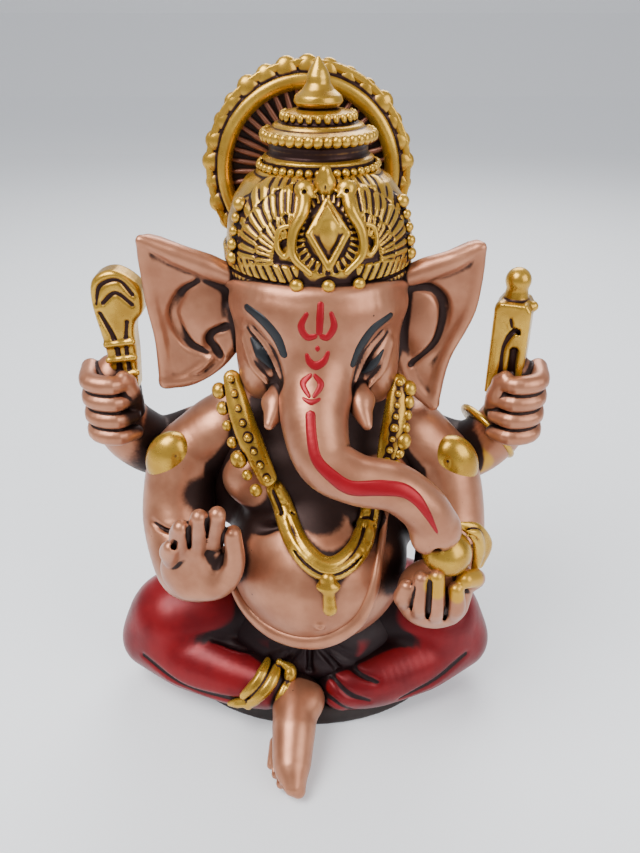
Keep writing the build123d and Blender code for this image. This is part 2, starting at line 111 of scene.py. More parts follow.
class Clay:
    def __init__(self, low, high, voxel=0.3):
        self.low = np.array(low, float)
        self.voxel = voxel
        self.field = np.full(np.ceil((np.array(high) - self.low) / voxel).astype(int) + 1, 3.0, np.float32)

    def block(self, low, high):
        first = np.maximum(np.floor((np.array(low) - self.low) / self.voxel).astype(int), 0)
        last = np.minimum(np.ceil((np.array(high) - self.low) / self.voxel).astype(int) + 1, self.field.shape)
        last = np.maximum(last, first + 1)
        first = np.minimum(first, np.array(self.field.shape) - 1)
        x, y, z = [(self.low[i] + self.voxel * np.arange(first[i], last[i])).astype(np.float32)
                   for i in range(3)]
        place = tuple(slice(a, b) for a, b in zip(first, last))
        return place, x[:, None, None], y[None, :, None], z[None, None, :]

    def put(self, place, shape, blend, cut):
        if cut:
            self.field[place] = -softMin(-self.field[place], shape, blend)
        else:
            self.field[place] = softMin(self.field[place], shape, blend)

    def ball(self, centre, radii, turn=(0, 0, 0), blend=1.0, cut=False):
        radii = np.array(radii, float) * np.ones(3)
        reach = (radii.max() if any(turn) else radii) + blend + 0.8
        place, x, y, z = self.block(np.array(centre) - reach, np.array(centre) + reach)
        back = np.array(Euler([math.radians(a) for a in turn]).to_matrix().inverted())
        offset = [x - centre[0], y - centre[1], z - centre[2]]
        local = [sum(back[row][i] * offset[i] for i in range(3)) for row in range(3)]
        near = np.sqrt(sum((local[i] / radii[i]) ** 2 for i in range(3)))
        slope = np.sqrt(sum((local[i] / radii[i] ** 2) ** 2 for i in range(3)))
        self.put(place, near * (near - 1) / np.maximum(slope, 1e-6), blend, cut)

    def limb(self, points, radii, blend=1.0, cut=False, flat=None, count=None):
        # a tube along a smooth path; flat = (direction, factor) presses its section
        count = count or 6 * len(points)
        path = smoothPath(points, count)
        sizes = np.interp(np.linspace(0, 1, count), np.linspace(0, 1, len(radii)), radii)
        reach = sizes.max() + blend + 0.8
        place, x, y, z = self.block(path.min(0) - reach, path.max(0) + reach)
        shape = np.full(self.field[place].shape, 9.0, np.float32)
        for start, end, sizeA, sizeB in zip(path[:-1], path[1:], sizes[:-1], sizes[1:]):
            run = end - start
            offset = [x - start[0], y - start[1], z - start[2]]
            share = np.clip(sum(offset[i] * run[i] for i in range(3)) / max(run @ run, 1e-9), 0, 1)
            away = [offset[i] - run[i] * share for i in range(3)]
            if flat:
                lean = np.array(flat[0], float) / np.linalg.norm(flat[0])
                amount = (flat[1] - 1) * sum(away[i] * lean[i] for i in range(3))
                away = [away[i] + amount * lean[i] for i in range(3)]
            shape = np.minimum(shape, np.sqrt(sum(a * a for a in away)) - (sizeA + (sizeB - sizeA) * share))
        self.put(place, shape, blend, cut)

    def slab(self, outline, thickness, origin, turn=(0, 0, 0), blend=0.4, cut=False, rounding=0.3):
        # an outline in x and z about the origin, thick along y, then turned
        corners = np.array(outline, float)
        reach = np.abs(corners).max() * 1.2 + thickness + blend
        place, x, y, z = self.block(np.array(origin) - reach, np.array(origin) + reach)
        back = np.array(Euler([math.radians(a) for a in turn]).to_matrix().inverted())
        offset = [x - origin[0], y - origin[1], z - origin[2]]
        local = [sum(back[row][i] * offset[i] for i in range(3)) for row in range(3)]
        side = outlineDistance(local[0], local[2], corners) + rounding
        deep = np.abs(local[1]) - thickness / 2 + rounding
        shape = np.minimum(np.maximum(side, deep), 0) + np.hypot(np.maximum(side, 0),
                                                                 np.maximum(deep, 0)) - rounding
        self.put(place, shape.astype(np.float32), blend, cut)

    def lathe(self, profile, axis, blend=0.2, cut=False):
        profile = np.array(profile, float)
        reach = profile[:, 0].max() + blend + 0.8
        place, x, y, z = self.block((axis[0] - reach, axis[1] - reach, profile[:, 1].min() - 1),
                                    (axis[0] + reach, axis[1] + reach, profile[:, 1].max() + 1))
        away = np.hypot(x - axis[0], y - axis[1])
        self.put(place, outlineDistance(away, z + 0 * away, profile), blend, cut)

    def above(self, height):
        place, x, y, z = self.block(self.low, self.low + self.voxel * np.array(self.field.shape))
        self.field[place] = np.maximum(self.field[place], height - z)

    def hit(self, start, direction, reach=30.0):
        # where a line from start first meets the surface
        direction = np.array(direction, float) / np.linalg.norm(direction)
        steps = np.arange(0, reach, self.voxel * 0.5)
        line = np.array(start) + steps[:, None] * direction
        values = sampled(self.field, self.low, self.voxel, line)
        found = np.nonzero(values < 0)[0]
        if not len(found):
            return None
        last = found[0]
        if last == 0:
            return line[0]
        share = values[last - 1] / (values[last - 1] - values[last])
        return line[last - 1] + (line[last] - line[last - 1]) * share

    def outward(self, point):
        step = self.voxel
        ends = np.array([point + sign * step * np.eye(3)[i] for i in range(3) for sign in (1, -1)])
        values = sampled(self.field, self.low, self.voxel, ends)
        slope = values[0::2] - values[1::2]
        return slope / max(np.linalg.norm(slope), 1e-9)

    def mesh(self):
        # the border is closed off, so no piece is left open where its block ends
        field = np.clip(self.field, -3 * self.voxel, 3 * self.voxel)
        for axis in range(3):
            for end in (0, -1):
                edge = [slice(None)] * 3
                edge[axis] = end
                field[tuple(edge)] = 3 * self.voxel
        grid = openvdb.FloatGrid(background=float(3 * self.voxel))
        grid.copyFromArray(field)
        grid.transform = openvdb.createLinearTransform(voxelSize=self.voxel)
        points, quads = grid.convertToQuads(isovalue=0.0)
        return np.array(points, float) + self.low, np.array(quads)



# finishes: satin metallic paints with a dark wash left in the hollows, painted shade darkening creases,
# recesses and the spots between parts, and a painted highlight on the ridges


class Signal:
    # a shader value, so that sums and products of sockets read as sums and products
    def __init__(self, paint, socket):
        self.paint = paint
        self.socket = socket

    def math(self, operation, other, swapped=False):
        first, second = (other, self) if swapped else (self, other)
        return self.paint.node("ShaderNodeMath", {"operation": operation}, {0: first, 1: second})

    def __add__(self, other):
        return self.math("ADD", other)

    __radd__ = __add__

    def __sub__(self, other):
        return self.math("SUBTRACT", other)

    def __rsub__(self, other):
        return self.math("SUBTRACT", other, True)

    def __mul__(self, other):
        return self.math("MULTIPLY", other)

    __rmul__ = __mul__

    def ramp(self, low, high):
        return self.paint.node("ShaderNodeMapRange", {"interpolation_type": "SMOOTHSTEP"},
                               {"Value": self, "From Min": low, "From Max": high})


class Paint:
    def __init__(self, name):
        self.material = bpy.data.materials.new(name)
        self.material.use_nodes = True
        self.tree = self.material.node_tree
        self.shader = next(n for n in self.tree.nodes if n.type == "BSDF_PRINCIPLED")
        self.place = self.node("ShaderNodeTexCoord", {}, {}, "Object")

    def node(self, kind, settings, inputs, output=0):
        node = self.tree.nodes.new(kind)
        for key, value in settings.items():
            setattr(node, key, value)
        for key, value in inputs.items():
            self.feed(node.inputs[key], value)
        return Signal(self, node.outputs[output])

    def feed(self, socket, value):
        if isinstance(value, Signal):
            self.tree.links.new(value.socket, socket)
        else:
            socket.default_value = value

    def noise(self, scale, detail=3.0):
        return self.node("ShaderNodeTexNoise", {}, {"Vector": self.place, "Scale": scale, "Detail": detail},
                         "Fac")

    def mark(self, name):
        return self.node("ShaderNodeAttribute", {"attribute_name": name}, {}, "Fac")

    def mix(self, share, first, second):
        node = self.tree.nodes.new("ShaderNodeMix")
        node.data_type = "RGBA"
        sockets = {s.name: s for s in node.inputs if s.type == "RGBA"}
        self.feed(node.inputs[0], share)
        self.feed(sockets["A"], first)
        self.feed(sockets["B"], second)
        return Signal(self, next(s for s in node.outputs if s.type == "RGBA"))

    def finish(self, color, metallic, roughness, height, strength, distance=0.00006):
        shader = self.shader
        self.feed(shader.inputs["Base Color"], color)
        self.feed(shader.inputs["Metallic"], metallic)
        self.feed(shader.inputs["Roughness"], roughness)
        bump = self.node("ShaderNodeBump", {}, {"Height": height, "Strength": strength, "Distance": distance})
        self.feed(shader.inputs["Normal"], bump)
        return self.material


def metalPaint(name, bright, deep, washAndShade, metal, rough, washAndShadeAmount):
    paint = Paint(name)
    patches, specks = paint.noise(260, 4), paint.noise(1500, 3)
    streaks = paint.noise(700, 2)
    pits = paint.node("ShaderNodeTexVoronoi", {}, {"Vector": paint.place, "Scale": 620.0}, "Distance")
    pitted = (1 - pits.ramp(0.05, 0.11)) * paint.noise(330, 2).ramp(0.6, 0.7)
    hollow, crease = paint.mark("hollow"), paint.mark("crease")
    # washAndShadeMask darkens hollows and creases: partly the real dark wash of the paint, partly painted
    # shade where light does not reach
    washAndShadeMask = (hollow * washAndShadeAmount + crease * 1.15 + (patches - 0.5) * 0.5 + (specks - 0.5) * 0.22).ramp(0.22,
                                                                                                       0.78)
    color = paint.mix(patches.ramp(0.3, 0.75), deep, bright)
    # painted highlight: ridges are lightened towards a brighter copper, partly as rubbed paint, partly as the
    # light they catch
    color = paint.mix(paint.mark("ridgeHighlightAndRub") * 0.5, color, [min(1, c * 1.25) for c in bright[:3]] + [1])
    if name == "copperSkin":
        color = paint.mix(paint.mark("gilt"), color, (0.52, 0.28, 0.03, 1))
    # wash and painted shade: hollows, creases and sheltered spots are darkened towards brown, then towards
    # the dark wash colour
    color = paint.mix(washAndShadeMask.ramp(0.0, 0.6) * 0.7, color, (0.12, 0.045, 0.025, 1))
    color = paint.mix(washAndShadeMask.ramp(0.4, 1.0), color, washAndShade)
    color = paint.mix(pitted, color, washAndShade)
    roughness = rough + washAndShadeMask * 0.16 + (streaks - 0.5) * 0.16
    return paint.finish(color, metal, roughness, specks * 0.5 + streaks * 0.5 - pitted * 1.2, 0.35)


def clothPaint(name, bright, deep, washAndShade, rough):
    paint = Paint(name)
    patches, specks = paint.noise(180, 3), paint.noise(1700, 3)
    # washAndShadeMask: the cloth is darkened in hollows and creases, partly with the real dark wash, partly
    # with painted shade
    washAndShadeMask = (paint.mark("hollow") * 1.25 + paint.mark("crease") * 1.2 + (patches - 0.5) * 0.45).ramp(0.22,
                                                                                                     0.75)
    color = paint.mix(patches.ramp(0.3, 0.7), deep, bright)
    color = paint.mix(washAndShadeMask, color, washAndShade)
    paint.shader.inputs["Specular IOR Level"].default_value = 0.3
    return paint.finish(color, 0.3, rough + (specks - 0.5) * 0.14 + washAndShadeMask * 0.1, specks, 0.25)


# the third colour of each finish is its dark wash colour, also used for painted shade in hollows, creases and
# sheltered spots
finishes = {
    "skin": metalPaint("copperSkin", (0.45, 0.195, 0.108, 1), (0.32, 0.125, 0.066, 1),
                       (0.022, 0.008, 0.006, 1), 0.66, 0.36, 1.0),
    "gilt": metalPaint("goldPaint", (0.56, 0.33, 0.042, 1), (0.34, 0.175, 0.018, 1), (0.026, 0.009, 0.007, 1),
                       0.74, 0.28, 1.25),
    "rays": metalPaint("rayCopper", (0.22, 0.085, 0.05, 1), (0.14, 0.05, 0.03, 1), (0.02, 0.007, 0.006, 1),
                       0.5, 0.4, 1.4),
    "cloth": clothPaint("redCloth", (0.20, 0.0045, 0.008, 1), (0.12, 0.003, 0.006, 1),
                        (0.012, 0.003, 0.004, 1), 0.36),
    "underpaint": clothPaint("darkUnderpaint", (0.022, 0.012, 0.010, 1), (0.012, 0.007, 0.006, 1),
                             (0.005, 0.003, 0.003, 1), 0.45),
    "mark": clothPaint("redMark", (0.30, 0.0025, 0.010, 1), (0.24, 0.002, 0.008, 1), (0.16, 0.003, 0.007, 1),
                       0.36),
    "kohl": clothPaint("darkMark", (0.016, 0.018, 0.021, 1), (0.011, 0.012, 0.015, 1),
                       (0.006, 0.006, 0.007, 1), 0.4),
}

pieces = []


def keep(name, nodes, slot, finish, clay=None, points=None, faces=None, soak=1.0, marks=None):
    if clay is not None:
        points, faces = clay.mesh()
    pieces.append({"name": name, "nodes": nodes, "slot": slot, "finish": finish, "clay": clay,
                   "points": np.array(points, float), "faces": faces, "soak": soak, "marks": marks or {}})
    print("sculpted", name, len(faces), "faces")


def laid(points, clay, lift=0.0, direction=(0, 1, -0.35), count=20):
    direction = np.array(direction, float) / np.linalg.norm(direction)
    found = []
    for point in smoothPath(points, count):
        place = clay.hit(point - direction * 14, direction)
        found.append(point if place is None else place + clay.outward(place) * lift)
    return found


# torso and arms

torso = {
    "belly": ((1.3, -8.4, 28.6), (13.8, 15.3, 12.6)),
    "chest": ((0.9, -3.0, 42.5), (13.0, 9.6, 9.6)),
    "shoulders": [(-12.6, -1.4, 46.0), (-6.0, -2.0, 48.6), (8.4, -2.0, 48.6), (15.0, -1.4, 45.2)],
    "navel": (1.6, -23.5, 27.4),
    "voxel": 0.3,
}

clay = Clay((-20, -26, 11), (22, 12, 57), torso["voxel"])
clay.ball(*torso["belly"], blend=2)
clay.ball(*torso["chest"], blend=5)
clay.limb(torso["shoulders"], [5.0, 6.0, 6.0, 5.0], blend=3)
clay.limb([(1.2, -2, 46), (1.3, -3.5, 55)], [7.2, 6.6], blend=2)
clay.ball((-12.6, -3.0, 38.0), (4.6, 4.4, 7.6), blend=2)
clay.ball((14.0, -4.0, 35.0), (4.6, 4.6, 8.0), blend=2)
for side, breast in ((-1, (-7.0, -9.4, 42.6)), (1, (9.4, -9.2, 42.0))):
    clay.ball(breast, (5.4, 3.7, 4.3), blend=2.8)
    clay.limb([(breast[0] - side * 5, -14.6, 38.4), (breast[0], -14.8, 37.6),
               (breast[0] + side * 5, -11.6, 39.0)],
              [0.3, 0.55, 0.3], blend=1.2, cut=True)
clay.ball(torso["navel"], (0.75, 0.8, 0.75), blend=0.35)
clay.ball((torso["navel"][0], torso["navel"][1] - 0.6, torso["navel"][2]), 0.38, blend=0.2, cut=True)
# painted shade on the chest under the head, in the lap and under the arms
keep("torsoForm", ["torso"], "copper_paint", "skin", clay,
     marks={"paintedShade": [((1.0, -10.5, 47.0), 7.5), ((1.4, -15.0, 41.4), 4.2), ((0.5, -19.0, 17.0), 4.5),
                    ((-13.6, -5.0, 38.0), 6.5), ((15.2, -5.0, 35.0), 6.5)]})
torsoClay = clay

# each arm's marks put painted shade in the bend of the elbow, against the body and on the rear arms
armPaths = {
    "rightFrontArm": {
        "node": "right_front_arm", "low": (-28, -25, 24), "high": (-7, 5, 54),
        "path": [(-12.8, -2.4, 46.8), (-18.4, -4.4, 43.0), (-19.8, -8.4, 35.6), (-18.0, -14.6, 30.9),
                 (-15.6, -18.4, 32.2)],
        "sizes": [4.6, 5.4, 5.4, 4.7, 3.9],
        "marks": {"paintedShade": [((-20.5, -8.0, 29.6), 3.5), ((-14.0, -3.0, 38.0), 4.5),
                           ((-16.2, -9.0, 39.6), 3.4)]},
    },
    "leftFrontArm": {
        "node": "left_front_arm", "low": (9, -25, 21), "high": (30, 5, 53),
        "path": [(15.0, -2.4, 46.0), (20.0, -4.6, 41.8), (21.4, -8.8, 33.8), (19.8, -15.2, 28.8),
                 (18.2, -18.6, 30.0)],
        "sizes": [4.6, 5.2, 5.2, 4.5, 3.7],
        "marks": {"paintedShade": [((15.4, -4.0, 36.0), 4.0)]},
    },
    "rightRearArm": {
        "node": "right_rear_arm", "low": (-37, -8, 33), "high": (-8, 11, 54),
        "path": [(-11.0, 2.6, 46.0), (-17.6, 2.8, 42.6), (-23.4, 1.4, 41.6), (-27.0, -0.4, 44.8),
                 (-29.2, -1.6, 49.4)],
        "sizes": [4.6, 4.9, 4.8, 4.6, 4.0],
        "marks": {"paintedShade": [((-24.0, 1.0, 43.5), 6.5)]},
    },
    "leftRearArm": {
        "node": "left_rear_arm", "low": (10, -8, 31), "high": (37, 11, 54),
        "path": [(13.0, 2.6, 45.0), (19.0, 2.8, 41.4), (24.4, 1.4, 40.8), (28.2, -0.4, 44.6),
                 (30.0, -1.6, 49.2)],
        "sizes": [4.6, 4.9, 4.7, 4.2, 3.6],
        "marks": {"paintedShade": [((23.0, 1.5, 44.0), 5.0), ((28.6, -2.0, 47.5), 3.0)],
                  "gilt": [((25.5, -2.5, 42.0), 3.0)]},
    },
}
for name, arm in armPaths.items():
    clay = Clay(arm["low"], arm["high"])
    clay.limb(arm["path"], arm["sizes"], blend=1.5)
    clay.ball(arm["path"][0], arm["sizes"][0] + 0.7, blend=2.5)
    if "Front" in name:
        # two creases in the bend of the elbow
        for drop in (0.0, 1.6):
            x, y, z = arm["path"][2]
            clay.limb([(x - 3, y - 4.4, z + 1.6 - drop), (x, y - 5.6, z + 0.8 - drop),
                       (x + 3, y - 5.2, z + 1.8 - drop)],
                      [0.15, 0.35, 0.15], blend=0.8, cut=True)
    keep(name, [arm["node"]], "copper_paint", "skin", clay, marks=arm["marks"])

# hands


clay = Clay((-24, -28, 25), (-6, -12, 51), 0.2)
clay.limb([(-15.6, -17.6, 31.6), (-15.6, -19.4, 34.8), (-15.0, -20.8, 39.4)], [3.8, 4.4, 3.4], blend=1,
          flat=((0.1, 1, 0.1), 1.45))
clay.ball((-15.2, -19.6, 34.1), (5.3, 3.9, 4.4), (14, 0, 0), blend=1.5)
clay.limb([(-16.5, -21.0, 32.6), (-12.4, -21.8, 33.6), (-10.0, -22.2, 37.2), (-9.8, -22.4, 42.6)],
          [2.0, 2.1, 1.5, 1.15], blend=1.2)
clay.ball((-12.6, -23.6, 39.6), (1.6, 1.7, 2.6), (10, 0, 0), blend=0.8, cut=True)
rightFingers = [
    [(-18.4, -21.0, 37.4), (-18.3, -22.4, 39.6), (-17.9, -23.2, 40.9)],
    [(-16.8, -21.4, 39.0), (-16.6, -23.0, 42.8), (-16.1, -24.0, 44.8)],
    [(-14.6, -21.6, 40.4), (-14.0, -23.2, 44.4), (-13.6, -24.2, 46.6)],
    [(-12.6, -21.2, 40.6), (-12.0, -22.6, 44.6), (-11.4, -23.6, 46.6)],
]
for points in rightFingers:
    clay.limb(points, [1.42, 1.42, 1.1], blend=0.35, count=14)
for first, second in zip(rightFingers[:-1], rightFingers[1:]):
    between = [(np.array(a) + np.array(b)) / 2 - (0, 0.8, 0) for a, b in zip(first, second)]
    clay.limb(between, [0.25, 0.42, 0.35], blend=0.2, cut=True)
keep("rightOpenHand", ["right_open_hand"], "copper_paint", "skin", clay, soak=1.2)

clay = Clay((9, -31, 22), (27, -12, 44), 0.2)
clay.ball((17.4, -20.4, 31.2), (4.9, 4.2, 4.4), blend=1)
clay.ball((17.4, -22.4, 30.3), (4.7, 3.0, 3.5), blend=1.5)
leftFingers = [
    [(13.5, -22.0, 30.4), (12.9, -23.6, 32.8), (13.2, -24.0, 34.9)],
    [(15.5, -23.2, 29.4), (15.0, -25.0, 32.8), (14.9, -25.0, 37.2)],
    [(17.4, -23.6, 29.0), (17.0, -25.6, 32.8), (16.8, -25.4, 37.9)],
    [(19.6, -23.2, 29.2), (19.8, -25.1, 32.4), (19.6, -25.0, 35.4)],
]
for points in leftFingers:
    clay.limb(points, [1.35, 1.35, 1.05], blend=0.35, count=14)
for first, second in zip(leftFingers[:-1], leftFingers[1:]):
    between = [(np.array(a) + np.array(b)) / 2 - (0, 0.9, 0) for a, b in zip(first, second)]
    clay.limb(between, [0.25, 0.42, 0.35], blend=0.2, cut=True)
clay.ball((21.4, -20.6, 32.6), (1.6, 2.2, 3.0), blend=1)
clay.limb([(22.2, -21.4, 33.4), (22.6, -22.8, 35.4), (20.9, -24.2, 36.4)], [1.4, 1.3, 1.2], blend=0.35,
          count=14)
keep("leftCuppedHand", ["left_cupped_hand"], "copper_paint", "skin", clay, soak=1.2,
     marks={"gilt": [((21.4, -24.0, 36.2), 2.1), ((16.9, -26.2, 37.0), 1.8), ((19.7, -26.0, 35.4), 1.3)]})

# each fist's marks put painted shade where it meets the arm
fists = {
    "rightFist": {"node": "right_fist", "middle": (-28.5, -2.3, 52.5), "out": -1,
                  "marks": {"paintedShade": [((-25.0, -3.6, 51.4), 4.0), ((-25.0, -2.0, 47.6), 3.4)]}},
    "leftFist": {"node": "left_fist", "middle": (30.0, -2.5, 52.6), "out": 1,
                 "marks": {"paintedShade": [((27.2, -3.4, 49.2), 2.6)]}},
}
for name, fist in fists.items():
    x, y, z = fist["middle"]
    out = fist["out"]
    clay = Clay((x - 8, y - 8, z - 9), (x + 8, y + 9, z + 9), 0.2)
    clay.ball((x, y + 0.6, z), (3.7, 3.9, 6.2), blend=1)
    for number in range(4):
        height = z - 4.3 + 2.75 * number
        clay.limb([(x + out * 3.2, y + 0.6, height + 0.3), (x + out * 2.3, y - 3.4, height),
                   (x - out * 0.8, y - 4.5, height - 0.1), (x - out * 3.0, y - 2.8, height - 0.3)],
                  [1.35, 1.42, 1.36, 1.1], blend=0.35, count=14)
    for number in range(3):
        height = z - 2.95 + 2.75 * number
        clay.limb([(x + out * 4.2, y - 0.6, height + 0.3), (x + out * 2.8, y - 4.8, height),
                   (x - out * 1.0, y - 6.0, height - 0.1), (x - out * 3.8, y - 3.6, height - 0.3)],
                  [0.2, 0.5, 0.5, 0.3], blend=0.3, cut=True)
    clay.limb([(x - out * 2.6, y - 0.6, z - 2.0), (x - out * 3.2, y - 2.6, z + 1.6),
               (x - out * 2.4, y - 3.2, z + 4.4)],
              [1.6, 1.4, 1.05], blend=0.35, count=14)
    keep(name, [fist["node"]], "copper_paint", "skin", clay, soak=1.2, marks=fist["marks"])

# head and trunk: one skin, from the brow to the tip

head = {
    "eyes": [(-6.0, -11.7, 63.4, -1), (8.6, -11.7, 62.8, 1)],
    "trunk": [(1.4, -8.4, 64.0), (1.3, -12.4, 60.0), (0.9, -16.6, 56.6), (2.2, -20.6, 52.9),
              (6.0, -22.4, 51.2), (10.8, -23.0, 50.4), (14.4, -23.2, 47.6), (16.4, -22.9, 44.2)],
    "sizes": [5.9, 4.9, 4.1, 3.4, 3.0, 2.9, 2.85, 3.0],
    "voxel": 0.25,
}
clay = Clay((-15, -29, 38.5), (21, 9, 79), head["voxel"])
clay.ball((1.4, -2.6, 66.0), (11.4, 9.4, 11.0), blend=2)
clay.ball((1.4, -6.0, 67.0), (9.8, 7.6, 7.6), blend=3)
clay.limb([(-7.4, -6.6, 69.0), (-3.0, -10.4, 69.4), (5.8, -10.4, 69.4), (10.2, -6.6, 69.0)],
          [2.6, 3.4, 3.4, 2.6], blend=3)
clay.limb(head["trunk"], head["sizes"], blend=5.0, count=60)
clay.limb([(-10.5, -5.0, 70.6), (-6.4, -10.2, 71.6), (-1.8, -12.6, 71.6), (2.3, -13.0, 71.6),
           (5.8, -12.4, 71.6),
           (9.4, -10.0, 71.6), (13.0, -5.0, 70.6)], [0.6, 0.9, 0.9, 0.9, 0.9, 0.9, 0.6], blend=0.7)
for x, y, z, side in head["eyes"]:
    clay.ball((x + side * 0.8, y + 4.4, z - 3.6), (2.5, 3.9, 4.6), blend=4)  # cheek
    clay.limb([(x + side * 1.6, y - 0.4, z + 2.6), (x, y - 1.6, z), (x - side * 1.6, y - 2.6, z - 2.6)],
              [1.0, 1.7, 0.9], blend=1.6, cut=True)
    clay.limb([(x + side * 1.5, y + 1.7, z + 2.3), (x, y + 0.7, z), (x - side * 1.4, y - 0.5, z - 2.3)],
              [0.7, 1.45, 0.7], blend=0.35)
    clay.limb([(x + side * 1.1, y + 0.5, z + 3.2), (x - side * 0.9, y - 1.0, z + 1.2),
               (x - side * 2.5, y - 2.2, z - 2.2)], [0.15, 0.3, 0.15], blend=0.8)
    clay.limb([(x + side * 2.4, y + 1.6, z + 1.6), (x + side * 1.2, y + 0.2, z - 1.4),
               (x - side * 0.6, y - 1.2, z - 3.6)], [0.12, 0.24, 0.12], blend=0.8)
# the tip: two lips with a notch between
clay.ball((15.0, -24.2, 43.1), (1.6, 1.5, 1.9), blend=1.0)
clay.ball((17.8, -23.4, 43.6), (1.7, 1.6, 1.9), blend=1.0)
clay.ball((16.5, -25.4, 41.8), (0.6, 1.5, 1.1), blend=0.4, cut=True)
# painted shade round the eyes
keep("headAndTrunk", ["head", "trunk"], "copper_paint", "skin", clay, soak=0.9,
     marks={"paintedShade": [((-5.4, -12.6, 62.8), 1.5), ((8.0, -12.6, 62.0), 1.5)]})
headClay = clay

for name, node, points in (
        ("rightTusk", "right_tusk", [(-3.4, -12.0, 58.6), (-4.2, -14.8, 57.0), (-4.9, -16.8, 55.8)]),
        ("leftTusk", "left_tusk", [(6.2, -12.0, 58.8), (6.9, -15.0, 57.4), (7.6, -17.2, 56.0)])):
    clay = Clay((points[2][0] - 5, -22, 51), (points[2][0] + 6, -7, 63), 0.2)
    clay.limb(points, [1.7, 1.5, 0.7], blend=0.5)
    clay.ball((points[1][0], points[1][1] + 1.0, points[1][2] + 0.4), (1.9, 1.9, 1.7), blend=0.5)
    keep(name, [node], "copper_paint", "skin", clay)

# ears: folded sheets with a rolled upper edge and a curled groove

ears = {
    "rightEar": {
        "node": "right_ear", "hinge": (-10.2, -3.6, 66.0), "turn": 6, "side": -1,
        "outline": [(2.0, 5.2), (-3.8, 8.2), (-11.3, 10.8), (-11.2, 2.6), (-10.5, -3.2), (-10.5, -10.2),
                    (-6.6, -9.8), (-2.8, -7.2), (1.8, -3.0)],
        "roll": [(1.8, 4.6), (-2.8, 6.8), (-7.0, 8.6), (-11.4, 10.5)],
        "outer": [(-11.1, 10.4), (-10.9, 2.6), (-10.2, -3.2), (-10.2, -9.8)],
        "lower": [(-10.2, -9.8), (-6.6, -9.4), (-2.8, -6.8), (-0.4, -3.4), (0.0, 0.6)],
        "groove": [(-4.6, 4.8), (-6.6, 3.4), (-8.1, 0.7), (-7.7, -1.8), (-6.4, -4.1), (-4.6, -5.1),
                   (-2.7, -5.5)],
        "curl": [(-1.0, -1.3), (-2.9, -2.3), (-3.4, -3.8), (-2.4, -5.9), (-4.1, -8.1), (-6.1, -8.7)],
        "dish": (-5.0, -1.0),
    },
    "leftEar": {
        "node": "left_ear", "hinge": (13.0, -3.6, 66.0), "turn": -6, "side": 1,
        "outline": [(-2.2, 5.2), (3.8, 7.8), (9.7, 9.9), (9.3, 1.2), (6.4, -6.4), (5.3, -14.2), (2.2, -11.6),
                    (0.2, -8.6), (-2.0, -3.0)],
        "roll": [(-2.0, 4.4), (2.6, 6.4), (6.2, 7.8), (9.6, 9.5)],
        "outer": [(9.4, 9.4), (9.0, 1.2), (6.1, -6.4), (5.0, -13.6)],
        "lower": [(5.0, -13.6), (2.3, -11.2), (0.4, -8.2), (-1.0, -4.0), (-1.4, 0.6)],
        "groove": [(0.4, 4.0), (3.8, 3.6), (5.5, 1.0), (4.7, -3.8), (1.4, -7.2)],
        "curl": [],
        "dish": (3.4, -2.0),
    },
}


def onEar(points, lift):
    return [origin + np.array(turn @ Vector((a, lift, b))) for a, b in points]


for name, ear in ears.items():
    origin = np.array(ear["hinge"])
    turn = Matrix.Rotation(math.radians(ear["turn"]), 3, "Z")
    clay = Clay(origin - (20, 9, 17), origin + (20, 9, 14), 0.25)
    clay.slab(smoothPath(ear["outline"] + ear["outline"][:1], 46)[:-1], 2.2, origin, (0, 0, ear["turn"]),
              rounding=0.7)
    across, up = ear["dish"]
    clay.ball(onEar([(across * 1.35, up)], -4.9)[0], (5.0, 4.2, 8.6), blend=1.6, cut=True)
    clay.ball(onEar([(across * 0.7, up)], 0.2)[0], (3.6, 2.2, 5.6), blend=0.8)
    clay.limb(onEar(ear["roll"], -1.0), [1.3, 1.6, 1.3, 0.35], blend=0.8)
    clay.limb(onEar(ear["outer"], -0.6), [0.5, 0.7, 0.75, 0.7], blend=0.8)
    clay.limb(onEar(ear["lower"], -0.8), [0.7, 0.95, 1.3, 1.5, 1.3], blend=0.8)
    clay.limb(laid(onEar(ear["groove"], -1), clay, 0.1, (0, 1, 0)), [0.35, 0.75, 0.85, 0.8, 0.75, 0.4],
              blend=0.4, cut=True)
    if ear["curl"]:
        clay.limb(laid(onEar(ear["curl"], -1), clay, 0.1, (0, 1, 0)), [0.5, 0.8, 0.9, 0.9, 0.8, 0.35],
                  blend=0.4, cut=True)
    keep(name, [ear["node"]], "copper_paint", "skin", clay)

# folded legs in red cloth, the hips, the foot and the plinth

